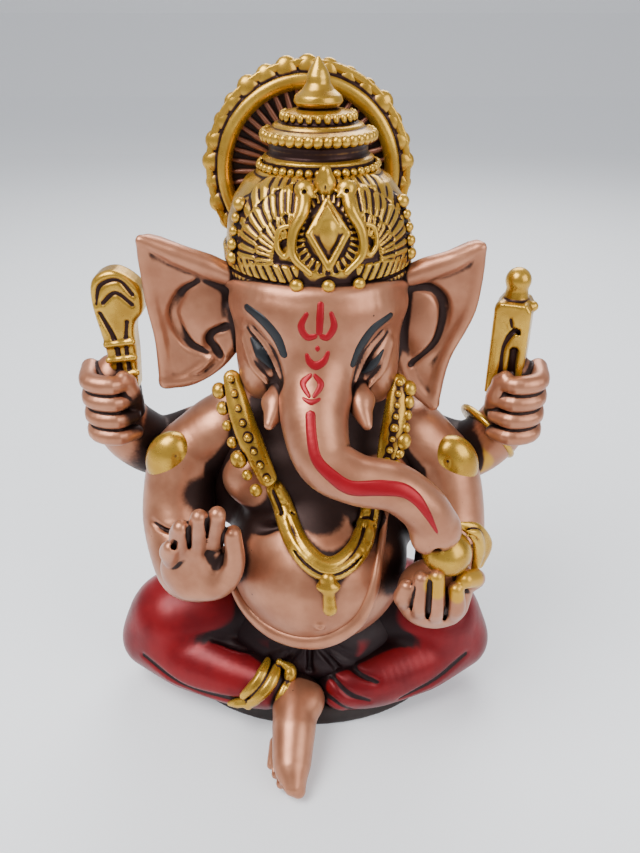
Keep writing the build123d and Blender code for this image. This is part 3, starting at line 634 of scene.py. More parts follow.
# each leg's marks put painted shade in the lap
legs = {
    "rightLeg": {
        "node": "right_leg", "side": -1,
        "thigh": [(-6.0, -1.0, 12.5), (-14.0, -3.5, 12.4), (-22.4, -5.3, 11.4), (-26.4, -5.6, 10.8)],
        "shin": [(-26.6, -6.6, 8.4), (-20.0, -10.2, 8.0), (-12.0, -14.0, 7.6), (-7.0, -16.4, 7.8)],
        "folds": [[(-27.4, -12.4, 9.4), (-20.9, -16.3, 6.8), (-14.2, -18.5, 6.6), (-9.6, -20, 7.6)],
                  [(-23.0, -15.4, 5.6), (-17.0, -17.5, 4.0), (-11.0, -19.5, 4.4)]],
        "creases": [[(-15.4, -13.6, 14.4), (-11.0, -14.6, 13.4), (-7.4, -15.2, 13.8)]],
        "paintedShade": [((-5.0, -13.0, 14.5), 4.5)],
    },
    "leftLeg": {
        "node": "left_leg", "side": 1,
        "thigh": [(6.0, -1.0, 12.5), (14.0, -3.5, 12.4), (20.6, -5.3, 11.4), (24.6, -5.6, 10.8)],
        "shin": [(24.8, -6.6, 8.2), (18.0, -10.4, 7.6), (10.6, -13.8, 7.0), (5.4, -15.6, 6.6)],
        "folds": [[(14.6, -17.4, 5.0), (20.4, -15.0, 6.6), (25.6, -11.4, 8.8)]],
        "creases": [[(5.0, -15.0, 12.6), (7.6, -17.2, 10.8), (10.6, -17.2, 8.8)],
                    [(3.4, -17.0, 10.0), (6.2, -18.8, 7.8), (9.4, -18.4, 5.8)],
                    [(2.6, -18.6, 7.4), (5.0, -19.4, 5.4), (7.6, -19.0, 3.8)]],
        "paintedShade": [((5.4, -13.0, 14.0), 4.0)],
    },
}
for name, leg in legs.items():
    side = leg["side"]
    clay = Clay((-36, -25, -0.5), (3, 13, 24)) if side < 0 else Clay((-3, -25, -0.5), (35, 13, 24))
    clay.limb(leg["thigh"], [7.4, 8.4, 8.3, 4.6], blend=1)
    clay.limb(leg["shin"], [5.6, 6.0, 5.3, 4.2], blend=1.4)
    for folds, size in ((leg["folds"], 0.42), (leg["creases"], 0.34)):
        for path in folds:
            lane = laid(path, clay, -0.1, (0, 0.72, -0.69), 16)
            clay.limb(lane, [0.1, size, size, size * 0.8, 0.1], blend=0.9, cut=True, count=26)
    clay.above(0.6)
    keep(name, [leg["node"]], "red_paint", "cloth", clay, marks={"paintedShade": leg["paintedShade"]})
    if side < 0:
        shinClay = clay

clay = Clay((-19, -19, 4), (20, 14, 22))
clay.ball((0.5, -2.5, 11.0), (17.0, 14.5, 9.0), blend=1)
for number in range(5):
    spread = -8 + 4 * number
    clay.limb([(spread * 0.4, -15.6, 14.6), (spread * 1.1, -16.4, 11.0)], [0.4, 0.5], blend=0.8, cut=True)
clay.above(4.4)
# painted shade in the lap
keep("seatCloth", ["dhoti_seat"], "red_paint", "cloth", clay, soak=1.6,
     marks={"paintedShade": [((0.5, -15.0, 15.0), 7.5)]})

clay = Clay((-8, -35, -1), (4.5, -12, 15), 0.22)
clay.limb([(-3.6, -14.4, 7.8), (-2.3, -18.4, 7.6), (-2.4, -23.2, 5.8), (-2.6, -28.0, 3.6),
           (-2.3, -31.0, 2.5)],
          [2.8, 3.1, 3.4, 2.9, 1.6], blend=1, flat=((0.0, 0.5, 0.86), 1.12), count=90)
clay.ball((0.6, -19.2, 7.0), (1.7, 2.4, 2.2), blend=2.0)
clay.ball((-4.4, -20.2, 6.8), (1.2, 2.0, 1.9), blend=1.2)
clay.limb([(-1.7, -27.6, 3.6), (-1.6, -31.4, 1.9)], [1.35, 1.1], blend=0.4)
for number in range(3):
    x = -4.2 - 0.8 * number
    clay.limb([(x + 0.5, -26.4 + 1.1 * number, 3.8 - 0.3 * number), (x, -30.2 + 1.6 * number, 1.8)],
              [0.95, 0.75], blend=0.35)
    clay.limb([(x + 0.75, -28.2 + 1.2 * number, 4.0), (x + 0.5, -31.6 + 1.5 * number, 2.4)], [0.18, 0.28],
              blend=0.3, cut=True)
clay.above(0.0)
keep("rightFoot", ["right_foot"], "copper_paint", "skin", clay)

clay = Clay((-24.5, -21, -1), (24.5, 16, 6), 0.35)
oval = [(22.8 * math.cos(a), 16.3 * math.sin(a)) for a in np.linspace(0, 2 * math.pi, 48, endpoint=False)]
clay.slab(oval, 4.4, (0, -2.5, 2.2), (90, 0, 0), rounding=0.8)
keep("plinth", ["base_plinth"], "dark_paint", "underpaint", clay)

# emblems in the raised hands

axe = {"middle": (-26.3, -2.0, 62.4), "thick": 4.0}
clay = Clay((-34, -7, 52), (-19, 4, 75), 0.2)
blade = smoothPath([(-2.0, -8.4), (-2.3, -2.0), (-3.2, 4.6), (-2.6, 8.2), (0.4, 9.4), (3.5, 7.2), (3.7, 3.8),
                    (2.2, 1.4), (2.0, -3.0), (1.6, -8.4)], 46)
clay.slab(blade, axe["thick"], axe["middle"], rounding=0.9)
x, y, z = axe["middle"]
front = y - axe["thick"] / 2
for points, size in (([(-2.6, 4.8), (-1.6, 7.4), (1.0, 8.2), (2.6, 6.2)], 0.35),
                     ([(-0.6, -7.0), (-0.6, -1.0), (-2.2, 3.4)], 0.42),
                     ([(0.9, -7.0), (0.8, -1.6), (1.4, 2.2)], 0.35),
                     ([(-1.6, 5.0), (0.4, 6.4), (2.4, 4.8)], 0.3)):
    clay.limb([(x + a, front, z + b) for a, b in points], [size], blend=0.3, cut=True)
for height in (-6.0, -3.6, -1.2):
    clay.limb([(x - 2.0, front + 0.2, z + height), (x + 1.8, front + 0.2, z + height + 0.5)], [0.45],
              blend=0.3)
keep("axeHead", ["axe"], "gold_paint", "gilt", clay)

x, y = 28.6, -2.0
clay = Clay((23.5, -7, 51), (33.5, 3, 74), 0.2)
clay.slab([(-2.5, -7), (2.5, -7), (2.5, 5.8), (1.8, 6.8), (-1.8, 6.8), (-2.5, 5.8)], 5.4, (x, y, 60.6),
          (0, 0, -20), rounding=0.5)
clay.limb([(x, y, 66.4), (x, y, 69.0)], [1.9, 1.4], blend=0.4)
clay.limb([(x - 2.2, y - 1.0, 66.6), (x + 2.2, y - 1.0, 66.6)], [0.75], blend=0.3)
clay.ball((x, y, 70.0), (1.75, 1.75, 1.75), blend=0.3)
arch = [(x - 1.5, 57.2), (x - 1.5, 61.2), (x, 63.6), (x + 1.5, 61.2), (x + 1.5, 57.2)]
clay.limb([(a, y - 2.5, b) for a, b in arch], [0.42], blend=0.25, cut=True)
clay.limb([(x, y - 2.7, 57.2), (x, y - 2.7, 60.6)], [0.6], blend=0.25, cut=True)
for number in range(5):
    a = math.radians(40 + 25 * number)
    clay.limb([(x + 1.6 * math.cos(a), y - 2.5, 62.6 + 1.6 * math.sin(a)),
               (x + 2.4 * math.cos(a), y - 2.5, 63.2 + 2.2 * math.sin(a))],
              [0.22], blend=0.2, cut=True)
keep("maceHead", ["mace"], "gold_paint", "gilt", clay)

# the sweet and its leaf, armlets, bracelet, anklet

clay = Clay((11, -29, 32), (24, -15, 44), 0.2)
clay.ball((18.4, -22.4, 39.6), (3.3, 3.4, 3.2), blend=0.5)
clay.limb([(18.4, -22.4, 40.4), (18.0, -22.6, 42.8)], [2.0, 0.8], blend=1.2)
keep("sweet", ["modak"], "gold_paint", "gilt", clay)

clay = Clay((17, -26, 29), (28, -13, 45), 0.2)
for lift, inset in ((0.0, 0.0), (0.9, 0.8)):
    clay.limb([(19.8 + inset, -21.4 - lift, 43.4 - inset), (22.2, -20.8 - lift, 41.8),
               (23.8 - inset, -20.2 - lift, 38.8),
               (23.6 - inset, -20.4 - lift, 35.8)], [0.4, 1.2 - inset * 0.5, 1.4 - inset * 0.5, 0.7],
              blend=0.3, flat=((0.4, -0.9, 0.2), 2.0))
clay.limb([(20.4, -22.4, 42.8), (22.4, -22.0, 41.2), (23.4, -21.8, 38.6), (23.2, -22.0, 36.4)], [0.24],
          blend=0.2, cut=True)
keep("sweetLeaf", ["modak_leaf"], "gold_paint", "gilt", clay)

for name, node, middle, side in (("rightArmlet", "right_armlet", (-20.2, -8.2, 44.4), -1),
                                 ("leftArmlet", "left_armlet", (21.2, -8.0, 43.6), 1)):
    clay = Clay(np.array(middle) - 7.5, np.array(middle) + 7.5, 0.2)
    x, y, z = middle
    clay.ball((x + side * 0.2, y + 1.2, z), (3.6, 2.7, 4.6), (0, side * -20, 0), blend=0.5)
    clay.ball((x - side * 1.6, y + 0.9, z - 3.2), (2.6, 2.3, 2.7), blend=0.4)
    for number in range(5):
        a = math.radians(-62 + 30 * number)
        clay.limb([(x - side * 0.6, y - 3.2, z - 2.2),
                   (x + side * 1.0 + 2.6 * math.sin(a), y - 1.6, z + 3.8 * math.cos(a))], [0.3, 0.55],
                  blend=0.4, cut=True)
    keep(name, [node], "gold_paint", "gilt", clay, soak=1.5)

clay = Clay((20, -8, 33), (38, 9, 53), 0.22)
lean = np.array((0.73, 0.34, 0.59))
place, x, y, z = clay.block((20, -8, 33), (38, 9, 53))
along = (x - 27.6) * lean[0] + (y - 0.3) * lean[1] + (z - 44.9) * lean[2]
away = np.sqrt(np.maximum((x - 27.6) ** 2 + (y - 0.3) ** 2 + (z - 44.9) ** 2 - along ** 2, 0))
clay.put(place, (np.hypot(np.maximum(away - 5.0, 0), along) - 0.55).astype(np.float32), 0.2, False)
keep("leftBracelet", ["left_bracelet"], "gold_paint", "gilt", clay)

# cords and straps on the body, laid on the finished surface

necklace = laid([(-4.7, -13, 43.4), (-3.7, -13.8, 41.3), (-2.1, -17.4, 38.3), (0.4, -20.2, 36.3),
                 (2.8, -21.1, 35.5), (5.2, -20.0, 35.9),
                 (7.3, -17.6, 37.2), (8.3, -14.3, 39.2), (8.8, -13, 41.4)], torsoClay, 0.4)
clay = Clay((-9, -29, 32), (13, -9, 49), 0.2)
clay.limb(necklace, [1.3, 1.55, 1.7, 1.75, 1.7, 1.55, 1.3], blend=0.3, flat=((0, -1, 0.4), 1.25), count=28)
for shift in (-0.62, 0.62):
    middle = np.array((2.2, -20, 42.5))
    lane = [p + (p - middle) / np.linalg.norm(p - middle) * shift + np.array((0, -1.3, 0.5))
            for p in np.array(necklace)]
    clay.limb(lane, [0.3], blend=0.2, cut=True, count=24)
for end in (necklace[:4], necklace[-4:]):
    for p in end:
        clay.limb([p + np.array((-1.8, -1.2, 0.2)), p + np.array((1.8, -1.2, 0.2))], [0.24], blend=0.15,
                  cut=True)
keep("necklaceBand", ["necklace"], "gold_paint", "gilt", clay)

drop = laid([(2.6, -22, 34.6), (2.9, -23, 30.6)], torsoClay, 0.5, count=5)
clay = Clay((-1, -29, 28), (7, -18, 40), 0.2)
clay.limb(drop, [1.2, 0.85, 0.95], blend=0.3)
clay.ball(drop[1], (1.7, 1.1, 0.8), blend=0.4)
clay.ball(drop[-1], (0.95, 0.9, 1.0), blend=0.3)
keep("necklaceDrop", ["necklace_pendant"], "gold_paint", "gilt", clay)

thread = laid([(11.2, -12.0, 42.0), (10.9, -14, 38.3), (9.9, -17.2, 35.0), (8.7, -20.9, 30.8),
               (6.4, -22.6, 26.8), (1.4, -22.7, 23.6),
               (-4.6, -21, 23.2), (-9.0, -17, 24.8), (-12.2, -12.6, 28.0)], torsoClay, 0.1, (0, 0.94, -0.34),
              40)
clay = Clay((-17, -29, 14), (18, -6, 50), 0.22)
clay.limb([point + np.array((0, 0.5, -0.2)) * share for point,
           share in zip(thread, np.linspace(0, 1.6, len(thread)))],
          [0.5, 0.6, 0.75, 0.95, 1.25, 1.5, 1.5, 1.3, 0.9], blend=0.3, count=70)
keep("sacredThread", ["sacred_thread"], "copper_paint", "skin", clay)

straps = {
    "rightGarland": {"node": "right_garland",
                     "path": [(-10.4, -8.6, 58.4), (-9.3, -10.8, 54.6), (-7.8, -12.8, 50.8),
                              (-5.6, -14.6, 46.2)],
                     "beads": [(-12.2, -8.8, 56.6), (-11.2, -11.2, 52.8), (-9.6, -13.6, 48.8),
                               (-7.2, -15.4, 44.6)]},
    "leftGarland": {"node": "left_garland",
                    "path": [(12.2, -9.4, 58.2), (11.8, -11.4, 54.6), (11.3, -12.8, 51.4),
                             (10.6, -13.8, 48.6)],
                    "beads": [(13.6, -9.8, 57.4), (13.3, -11.8, 53.9), (12.7, -13.2, 50.8),
                              (11.8, -14.4, 48.0)]},
}
strapClays = {}
for name, strap in straps.items():
    clay = Clay(np.array(strap["path"]).min(0) - 4, np.array(strap["path"]).max(0) + 4, 0.2)
    clay.limb(strap["path"], [1.2, 1.6, 1.7, 1.3], blend=0.3, flat=((0, -0.8, 0.6), 1.7))
    strapClays[name] = clay

# beading: what repeats along a path is laid by one node tree


def beadingTree():
    tree = bpy.data.node_groups.new("beading", "GeometryNodeTree")
    face = tree.interface
    face.new_socket("Geometry", in_out="INPUT", socket_type="NodeSocketGeometry")
    for label, kind, value in (("Path", "NodeSocketObject", None), ("Bead", "NodeSocketObject", None),
                               ("Bead Count", "NodeSocketInt", 12),
                               ("Bead Size", "NodeSocketVector", (1, 1, 1)),
                               ("Bead Turn", "NodeSocketRotation", None),
                               ("Unevenness", "NodeSocketFloat", 0.1),
                               ("Finish", "NodeSocketMaterial", None)):
        socket = face.new_socket(label, in_out="INPUT", socket_type=kind)
        if value is not None:
            socket.default_value = value
    face.new_socket("Geometry", in_out="OUTPUT", socket_type="NodeSocketGeometry")
    add = tree.nodes.new
    link = tree.links.new
    source = add("NodeGroupInput")
    result = add("NodeGroupOutput")
    path, bead = add("GeometryNodeObjectInfo"), add("GeometryNodeObjectInfo")
    link(source.outputs["Path"], path.inputs["Object"])
    link(source.outputs["Bead"], bead.inputs["Object"])
    curve = add("GeometryNodeMeshToCurve")
    link(path.outputs["Geometry"], curve.inputs["Mesh"])
    spaced = add("GeometryNodeResampleCurve")
    link(curve.outputs["Curve"], spaced.inputs["Curve"])
    link(source.outputs["Bead Count"], spaced.inputs["Count"])
    tangent = add("GeometryNodeInputTangent")
    faced = add("FunctionNodeAlignRotationToVector")
    faced.axis = "X"
    link(tangent.outputs[0], faced.inputs["Vector"])
    turned = add("FunctionNodeRotateRotation")
    turned.rotation_space = "LOCAL"
    link(faced.outputs["Rotation"], turned.inputs["Rotation"])
    link(source.outputs["Bead Turn"], turned.inputs["Rotate By"])
    uneven = add("FunctionNodeRandomValue")
    uneven.data_type = "FLOAT"
    numbers = {s.name: s for s in uneven.inputs if s.type == "VALUE"}
    low, high = add("ShaderNodeMath"), add("ShaderNodeMath")
    low.operation, high.operation = "SUBTRACT", "ADD"
    for node in (low, high):
        node.inputs[0].default_value = 1.0
        link(source.outputs["Unevenness"], node.inputs[1])
    link(low.outputs[0], numbers["Min"])
    link(high.outputs[0], numbers["Max"])
    uneven.inputs["Seed"].default_value = 7
    scale = add("ShaderNodeVectorMath")
    scale.operation = "SCALE"
    link(source.outputs["Bead Size"], scale.inputs[0])
    link([s for s in uneven.outputs if s.type == "VALUE" and s.enabled][0], scale.inputs["Scale"])
    placed = add("GeometryNodeInstanceOnPoints")
    link(spaced.outputs["Curve"], placed.inputs["Points"])
    link(bead.outputs["Geometry"], placed.inputs["Instance"])
    link(turned.outputs["Rotation"], placed.inputs["Rotation"])
    link(scale.outputs[0], placed.inputs["Scale"])
    joined = add("GeometryNodeJoinGeometry")
    real = add("GeometryNodeRealizeInstances")
    painted = add("GeometryNodeSetMaterial")
    link(source.outputs["Geometry"], joined.inputs["Geometry"])
    link(placed.outputs["Instances"], joined.inputs["Geometry"])
    link(joined.outputs["Geometry"], real.inputs["Geometry"])
    link(real.outputs["Geometry"], painted.inputs["Geometry"])
    link(source.outputs["Finish"], painted.inputs["Material"])
    link(painted.outputs["Geometry"], result.inputs["Geometry"])
    return tree


beading = beadingTree()


def plainObject(name, points, edges=(), faces=()):
    mesh = bpy.data.meshes.new(name)
    mesh.from_pydata([tuple(p) for p in points], [tuple(e) for e in edges], [tuple(f) for f in faces])
    item = bpy.data.objects.new(name, mesh)
    bpy.context.scene.collection.objects.link(item)
    return item


def pathObject(points, closed):
    count = len(points)
    edges = [(i, i + 1) for i in range(count - 1)] + ([(count - 1, 0)] if closed else [])
    return plainObject("path", points, edges)


def ballObject(segments=14, rings=9):
    points = [(0, 0, 1)]
    for ring in range(1, rings):
        lift = math.pi * ring / rings
        points += [(math.sin(lift) * math.cos(2 * math.pi * i / segments),
                    math.sin(lift) * math.sin(2 * math.pi * i / segments),
                    math.cos(lift)) for i in range(segments)]
    points.append((0, 0, -1))
    faces = [(0, 1 + i, 1 + (i + 1) % segments) for i in range(segments)]
    for ring in range(rings - 2):
        base = 1 + ring * segments
        faces += [(base + i, base + segments + i, base + segments + (i + 1) % segments,
                   base + (i + 1) % segments)
                  for i in range(segments)]
    base, last = 1 + (rings - 2) * segments, len(points) - 1
    faces += [(base + (i + 1) % segments, base + i, last) for i in range(segments)]
    return plainObject("bead", points, faces=faces)


def beaded(name, nodes, slot, finish, clay, rows, soak=1.0):
    # rows are (path, closed, count, size, turn in degrees, unevenness) laid on a clay piece
    points, faces = clay.mesh()
    base = plainObject(name, points, faces=faces.tolist())
    bead = ballObject()
    helpers = [bead]
    sockets = {s.name: s.identifier for s in beading.interface.items_tree if s.in_out == "INPUT"}
    for path, closed, count, size, turn, unevenness in rows:
        helpers.append(pathObject(path, closed))
        modifier = base.modifiers.new("beads", "NODES")
        modifier.node_group = beading
        modifier[sockets["Path"]] = helpers[-1]
        modifier[sockets["Bead"]] = bead
        modifier[sockets["Bead Count"]] = count
        modifier[sockets["Bead Size"]] = size
        modifier[sockets["Bead Turn"]] = [math.radians(a) for a in turn]
        modifier[sockets["Unevenness"]] = unevenness
        modifier[sockets["Finish"]] = finishes[finish]
    bpy.context.view_layer.update()
    mesh = bpy.data.meshes.new_from_object(base.evaluated_get(bpy.context.evaluated_depsgraph_get()))
    points = [tuple(v.co) for v in mesh.vertices]
    faces = [tuple(p.vertices) for p in mesh.polygons]
    for item in helpers + [base]:
        bpy.data.objects.remove(item)
    keep(name, nodes, slot, finish, points=points, faces=faces, soak=soak)


def uprightRing(middle, radius, count=72):
    turns = [2 * math.pi * i / count for i in range(count)]
    return [(middle[0] + radius * math.sin(a), middle[1], middle[2] + radius * math.cos(a)) for a in turns]


for name, strap in straps.items():
    beaded(name, [strap["node"]], "gold_paint", "gilt", strapClays[name],
           [(smoothPath(strap["beads"], 30), False, 7, (1.05, 0.9, 0.95), (0, 0, 0), 0.28),
            (smoothPath(strap["path"], 30) + np.array((0, -1.3, 0.6)), False, 8, (0.5, 0.5, 0.5), (0, 0, 0),
             0.2)])

anklet = [
    ([(-4.1, -17.0, 12.5), (-3.0, -17.6, 11.4), (-4.5, -19.5, 8.6), (-5.2, -20.0, 7.4)], 1.0),
    ([(-4.8, -17.0, 13.0), (-6.4, -18.8, 10.1), (-9.6, -20.0, 6.9)], 1.0),
    ([(-6.4, -16.6, 13.2), (-8.0, -18.4, 10.7), (-10.3, -19.6, 8.7)], 0.9),
    ([(-12.7, -20.0, 6.9), (-10.6, -20.0, 7.3), (-8.3, -20.0, 8.0)], 0.8),
]
clay = Clay((-19, -26, 1), (0, -9, 17), 0.2)
for path, size in anklet:
    clay.limb(laid(path, shinClay, 0.25, (0, 0.8, -0.6), 14), [size * 0.5, size, size, size * 0.7],
              blend=0.25, count=24)
    clay.limb(laid(path, clay, 0.1, (0, 0.8, -0.6), 14), [0.1, 0.2, 0.2, 0.1], blend=0.2, cut=True, count=24)
keep("rightAnklet", ["right_anklet"], "gold_paint", "gilt", clay)

# halo: rolled ring, scalloped outer lobes, rayed disc

halo = {"middle": (0.0, 7.4, 82.4), "lobes": 30, "lobeRing": 12.8, "rays": 44}
x0, y0, z0 = halo["middle"]
clay = Clay((-16, 4, 66.5), (16, 10.5, 98), 0.22)
place, x, y, z = clay.block((-16, 4, 66.5), (16, 10.5, 98))
away = np.hypot(x - x0, z - z0) + 0 * y
band = np.maximum(np.abs(away - 12.5) - 1.4, np.abs(y - 7.5) - 0.9) - 0.2
roll = np.hypot(away - 11.6, (y - 6.6) * 1.1) - 1.15
clay.put(place, band.astype(np.float32), 0.3, False)
clay.put(place, roll.astype(np.float32), 0.4, False)
groove = np.hypot(away - 12.85, y - 6.2) - 0.35
clay.put(place, groove.astype(np.float32), 0.3, True)
beaded("haloRim", ["halo_rim"], "gold_paint", "gilt", clay,
       [(uprightRing((x0, y0 - 0.3, z0), halo["lobeRing"]), True, halo["lobes"], (1.55, 0.95, 1.75),
         (0, 0, 0), 0.12)])

clay = Clay((-12.5, 5, 69.5), (12.5, 10, 95), 0.25)
place, x, y, z = clay.block((-12.5, 5, 69.5), (12.5, 10, 95))
away = np.hypot(x - x0, z - z0) + 0 * y
clay.put(place, np.maximum(away - 11.4, np.abs(y - 8.2) - 0.6).astype(np.float32), 0.2, False)
spokes = uprightRing((x0, y0 + 0.1, z0), 8.6)
beaded("haloDisc", ["halo_disc"], "dark_paint", "rays", clay,
       [(spokes, True, halo["rays"], (0.42, 0.5, 2.9), (0, 0, 0), 0.08)], soak=1.1)

# crown: relief on a bowl, stepped tiers, finial

crown = {
    "axis": (1.4, -0.5),
    "profile": [(0, 71.0), (11.6, 71.0), (12.2, 73.0), (12.3, 75.4), (11.9, 78.4), (11.0, 81.0), (9.4, 83.3),
                (7.5, 84.4), (0, 84.4)],
    "feathers": 6,
}
cx, cy = crown["axis"]
heights = [p[1] for p in crown["profile"][1:8]]
widths = [p[0] for p in crown["profile"][1:8]]


def onBowl(across, height, lift=0.0):
    # a place on the crown's bowl: across is measured round it from the front, in millimetres
    radius = np.interp(height, heights, widths) + lift
    turn = across / 11.5
    return (cx + radius * math.sin(turn), cy - radius * math.cos(turn), height)


clay = Clay((cx - 15, cy - 15, 70), (cx + 15, cy + 7.0, 88), 0.18)
clay.lathe(crown["profile"], crown["axis"])
place, x, y, z = clay.block((cx - 15, cy - 15, 70), (cx + 15, cy + 7.0, 88))
across = np.arctan2(x - cx, -(y - cy)) * 11.5 - 1.1 + 0 * z
tall = z + 0 * across
relief = np.zeros(across.shape, np.float32)
for side in (-1, 1):
    offX, offZ = (across - side * 3.6) * side, tall - 76.0
    far, bearing = np.hypot(offX, offZ), np.arctan2(offZ, offX)
    for inner, outer, shift, high in ((2.6, 5.6, 0.5, 0.62), (5.0, 8.6, 0.0, 0.5), (8.0, 11.4, 0.5, 0.4)):
        turns = bearing / math.radians(110) * crown["feathers"] + shift
        rib = np.abs(np.cos(math.pi * turns))
        rim = outer - 0.9 * (1 - rib)
        inside = np.clip((rim - far) / 0.35, 0, 1) * np.clip((far - inner) / 0.3, 0, 1)
        inside = inside * np.clip((bearing + 0.35) / 0.1, 0, 1) * np.clip((1.95 - bearing) / 0.1, 0, 1)
        quill = 1 - 0.5 * np.exp(-((rib - 1) / 0.06) ** 2)
        relief = np.maximum(relief, inside * high * (0.25 + 0.75 * np.minimum(rib * 1.8, 1) * quill))
    # short slanted strokes below the tail
    strokes = np.abs(np.cos((across * side - (tall - 72) * 0.45) * math.pi / 1.15))
    low = np.clip((75.4 - tall) / 0.3, 0, 1) * np.clip((tall - 72.9) / 0.3, 0,
                                                       1) * np.clip((across * side - 3.2) / 0.4, 0, 1)
    relief = np.maximum(relief, low * 0.5 * np.minimum(strokes * 1.7, 1))
hem = np.clip((72.7 - tall) / 0.2, 0, 1) * (0.35 + 0.25 * np.abs(np.cos(across * math.pi / 0.85)))
relief = np.maximum(relief, hem)
# the rayed oval behind the lozenge
oval = np.hypot(across / 3.9, (tall - 79.0) / 4.7)
rays = 0.5 + 0.5 * np.cos(np.arctan2(tall - 79.0, across) * 30)
relief = np.where(oval < 1, -0.35 + 0.3 * rays * (oval > 0.72), relief)
clay.field[place] -= (relief * 0.95).astype(np.float32)
clay.field[place] = np.maximum(clay.field[place], y - 6.2)
clay.limb([(cx + 7.6 * math.sin(a), cy - 7.6 * math.cos(a), 84.2) for a in np.linspace(-2.4, 2.4, 30)],
          [0.35], blend=0.2, count=60)
rows = []
for across in (-11.6, 13.4):
    column = [onBowl(across, h, 0.5) for h in (74.8, 77.0, 79.2, 81.2)]
    rows.append((smoothPath(column, 14), False, 5, (0.8, 0.8, 0.8), (0, 0, 0), 0.18))
rows.append(([onBowl(a, 73.0, 0.55) for a in (-2.4, 1.1, 4.6)], False, 3, (0.85, 0.7, 0.8), (0, 0, 0), 0.05))
beaded("crownBowl", ["crown_bowl"], "gold_paint", "gilt", clay, rows, soak=1.25)

clay = Clay((cx - 9.5, cy - 9.5, 83.5), (cx + 9.5, cy + 7.5, 94), 0.2)
tiers = [(0, 83.6), (7.7, 83.6), (7.9, 84.2), (7.2, 84.6), (7.0, 85.6), (7.1, 85.9), (6.6, 86.2), (6.3, 86.5),
         (6.3, 87.6),
         (6.7, 87.9), (6.9, 89.0), (5.8, 89.4), (5.6, 89.8), (4.6, 90.0), (4.4, 91.1), (3.0, 91.4), (0, 91.4)]
clay.lathe(tiers, crown["axis"])
place, x, y, z = clay.block((cx - 9.5, cy - 9.5, 83.5), (cx + 9.5, cy + 7.5, 94))
clay.field[place] = np.maximum(clay.field[place], y - 6.2)


def arc(radius, height):
    return [(cx + radius * math.sin(a), cy - radius * math.cos(a), height)
            for a in np.linspace(-1.95, 1.95, 60)]


beaded("crownTiers", ["crown_tiers"], "gold_paint", "gilt", clay, [
    (arc(7.5, 85.0), False, 27, (0.5, 0.5, 0.5), (0, 0, 0), 0.12),
    (arc(6.95, 88.5), False, 25, (0.62, 0.55, 0.72), (0, 28, 0), 0.08),
    (arc(4.5, 90.6), False, 17, (0.42, 0.42, 0.62), (0, 0, 0), 0.1),
])

clay = Clay((cx - 4.5, cy - 4.5, 90.5), (cx + 4.5, cy + 4.5, 98.3), 0.18)
finial = [(0, 90.6), (2.5, 90.6), (2.4, 91.5), (3.1, 92.2), (2.9, 92.9), (2.0, 93.6), (1.5, 94.3),
          (1.45, 95.0), (1.1, 95.8), (0.55, 96.6), (0.1, 97.3), (0, 97.3)]
clay.lathe(finial, crown["axis"], blend=0.3)
keep("crownFinial", ["crown_finial"], "gold_paint", "gilt", clay, soak=0.6)

clay = Clay((-1, -16, 73.5), (6, -9.5, 84.5), 0.16)
lozenge = [onBowl(a, h, 0.75) for a, h in ((1.1, 82.6), (3.2, 79.2), (1.1, 75.4), (-1.0, 79.2), (1.1, 82.6))]
for start, end in zip(lozenge[:-1], lozenge[1:]):
    clay.limb([start, end], [0.42], blend=0.15)
clay.ball(onBowl(1.1, 79.1, 0.2), (1.25, 0.95, 2.1), blend=0.1)
place, x, y, z = clay.block((-1, -16, 73.5), (6, -9.5, 84.5))
plate = np.maximum(np.abs(x - 2.5) / 2.1 + np.abs(z - 79.1) / 3.5 - 1,
                   np.abs(np.hypot(x - cx, y - cy) - 11.9) - 0.5)
clay.put(place, plate.astype(np.float32), 0.15, False)
keep("crownJewel", ["crown_jewel"], "gold_paint", "gilt", clay)

clay = Clay((-1, -15, 81.5), (6, -6, 88), 0.16)
top = onBowl(1.1, 84.0, 0.3)
clay.ball(top, (1.35, 1.2, 1.6), blend=0.3)
clay.ball((top[0], top[1] - 0.2, top[2] + 1.5), (0.75, 0.8, 0.9), blend=0.5)
clay.limb([(top[0], top[1] - 1.25, top[2] - 1.0), (top[0], top[1] - 1.25, top[2] + 0.1)], [0.22], blend=0.1,
          cut=True)
keep("crownDrop", ["crown_drop"], "gold_paint", "gilt", clay)

for name, node, side in (("rightPeacock", "right_peacock", -1), ("leftPeacock", "left_peacock", 1)):
    clay = Clay((-6 if side < 0 else 2, -15, 73), (3 if side < 0 else 11, -6, 87), 0.16)
    neck = [onBowl(1.1 + side * a, h, lift) for a, h, lift in
            ((2.0, 74.6, 0.5), (3.8, 76.6, 0.6), (3.9, 79.2, 0.7), (2.9, 81.6, 0.75), (3.1, 83.6, 0.5))]
    clay.limb(neck, [0.4, 0.5, 0.62, 0.75, 0.85], blend=0.2)
    clay.ball(neck[-1], (1.25, 1.0, 1.15), blend=0.4)
    clay.limb([neck[-1], onBowl(1.1 + side * 1.5, 83.0, 0.6)], [0.7, 0.2], blend=0.3)
    clay.ball((neck[-1][0], neck[-1][1] - 1.0, neck[-1][2]), 0.3, blend=0.1, cut=True)
    curl = [onBowl(1.1 + side * a, h, 0.5) for a,
            h in ((4.2, 80.0), (5.6, 79.4), (5.7, 77.4), (4.7, 76.4), (4.2, 77.6))]
    clay.limb(curl, [0.3, 0.36, 0.36, 0.36, 0.3], blend=0.15)
    keep(name, [node], "gold_paint", "gilt", clay)

# painted strokes: thin raised paint that follows the skin below it


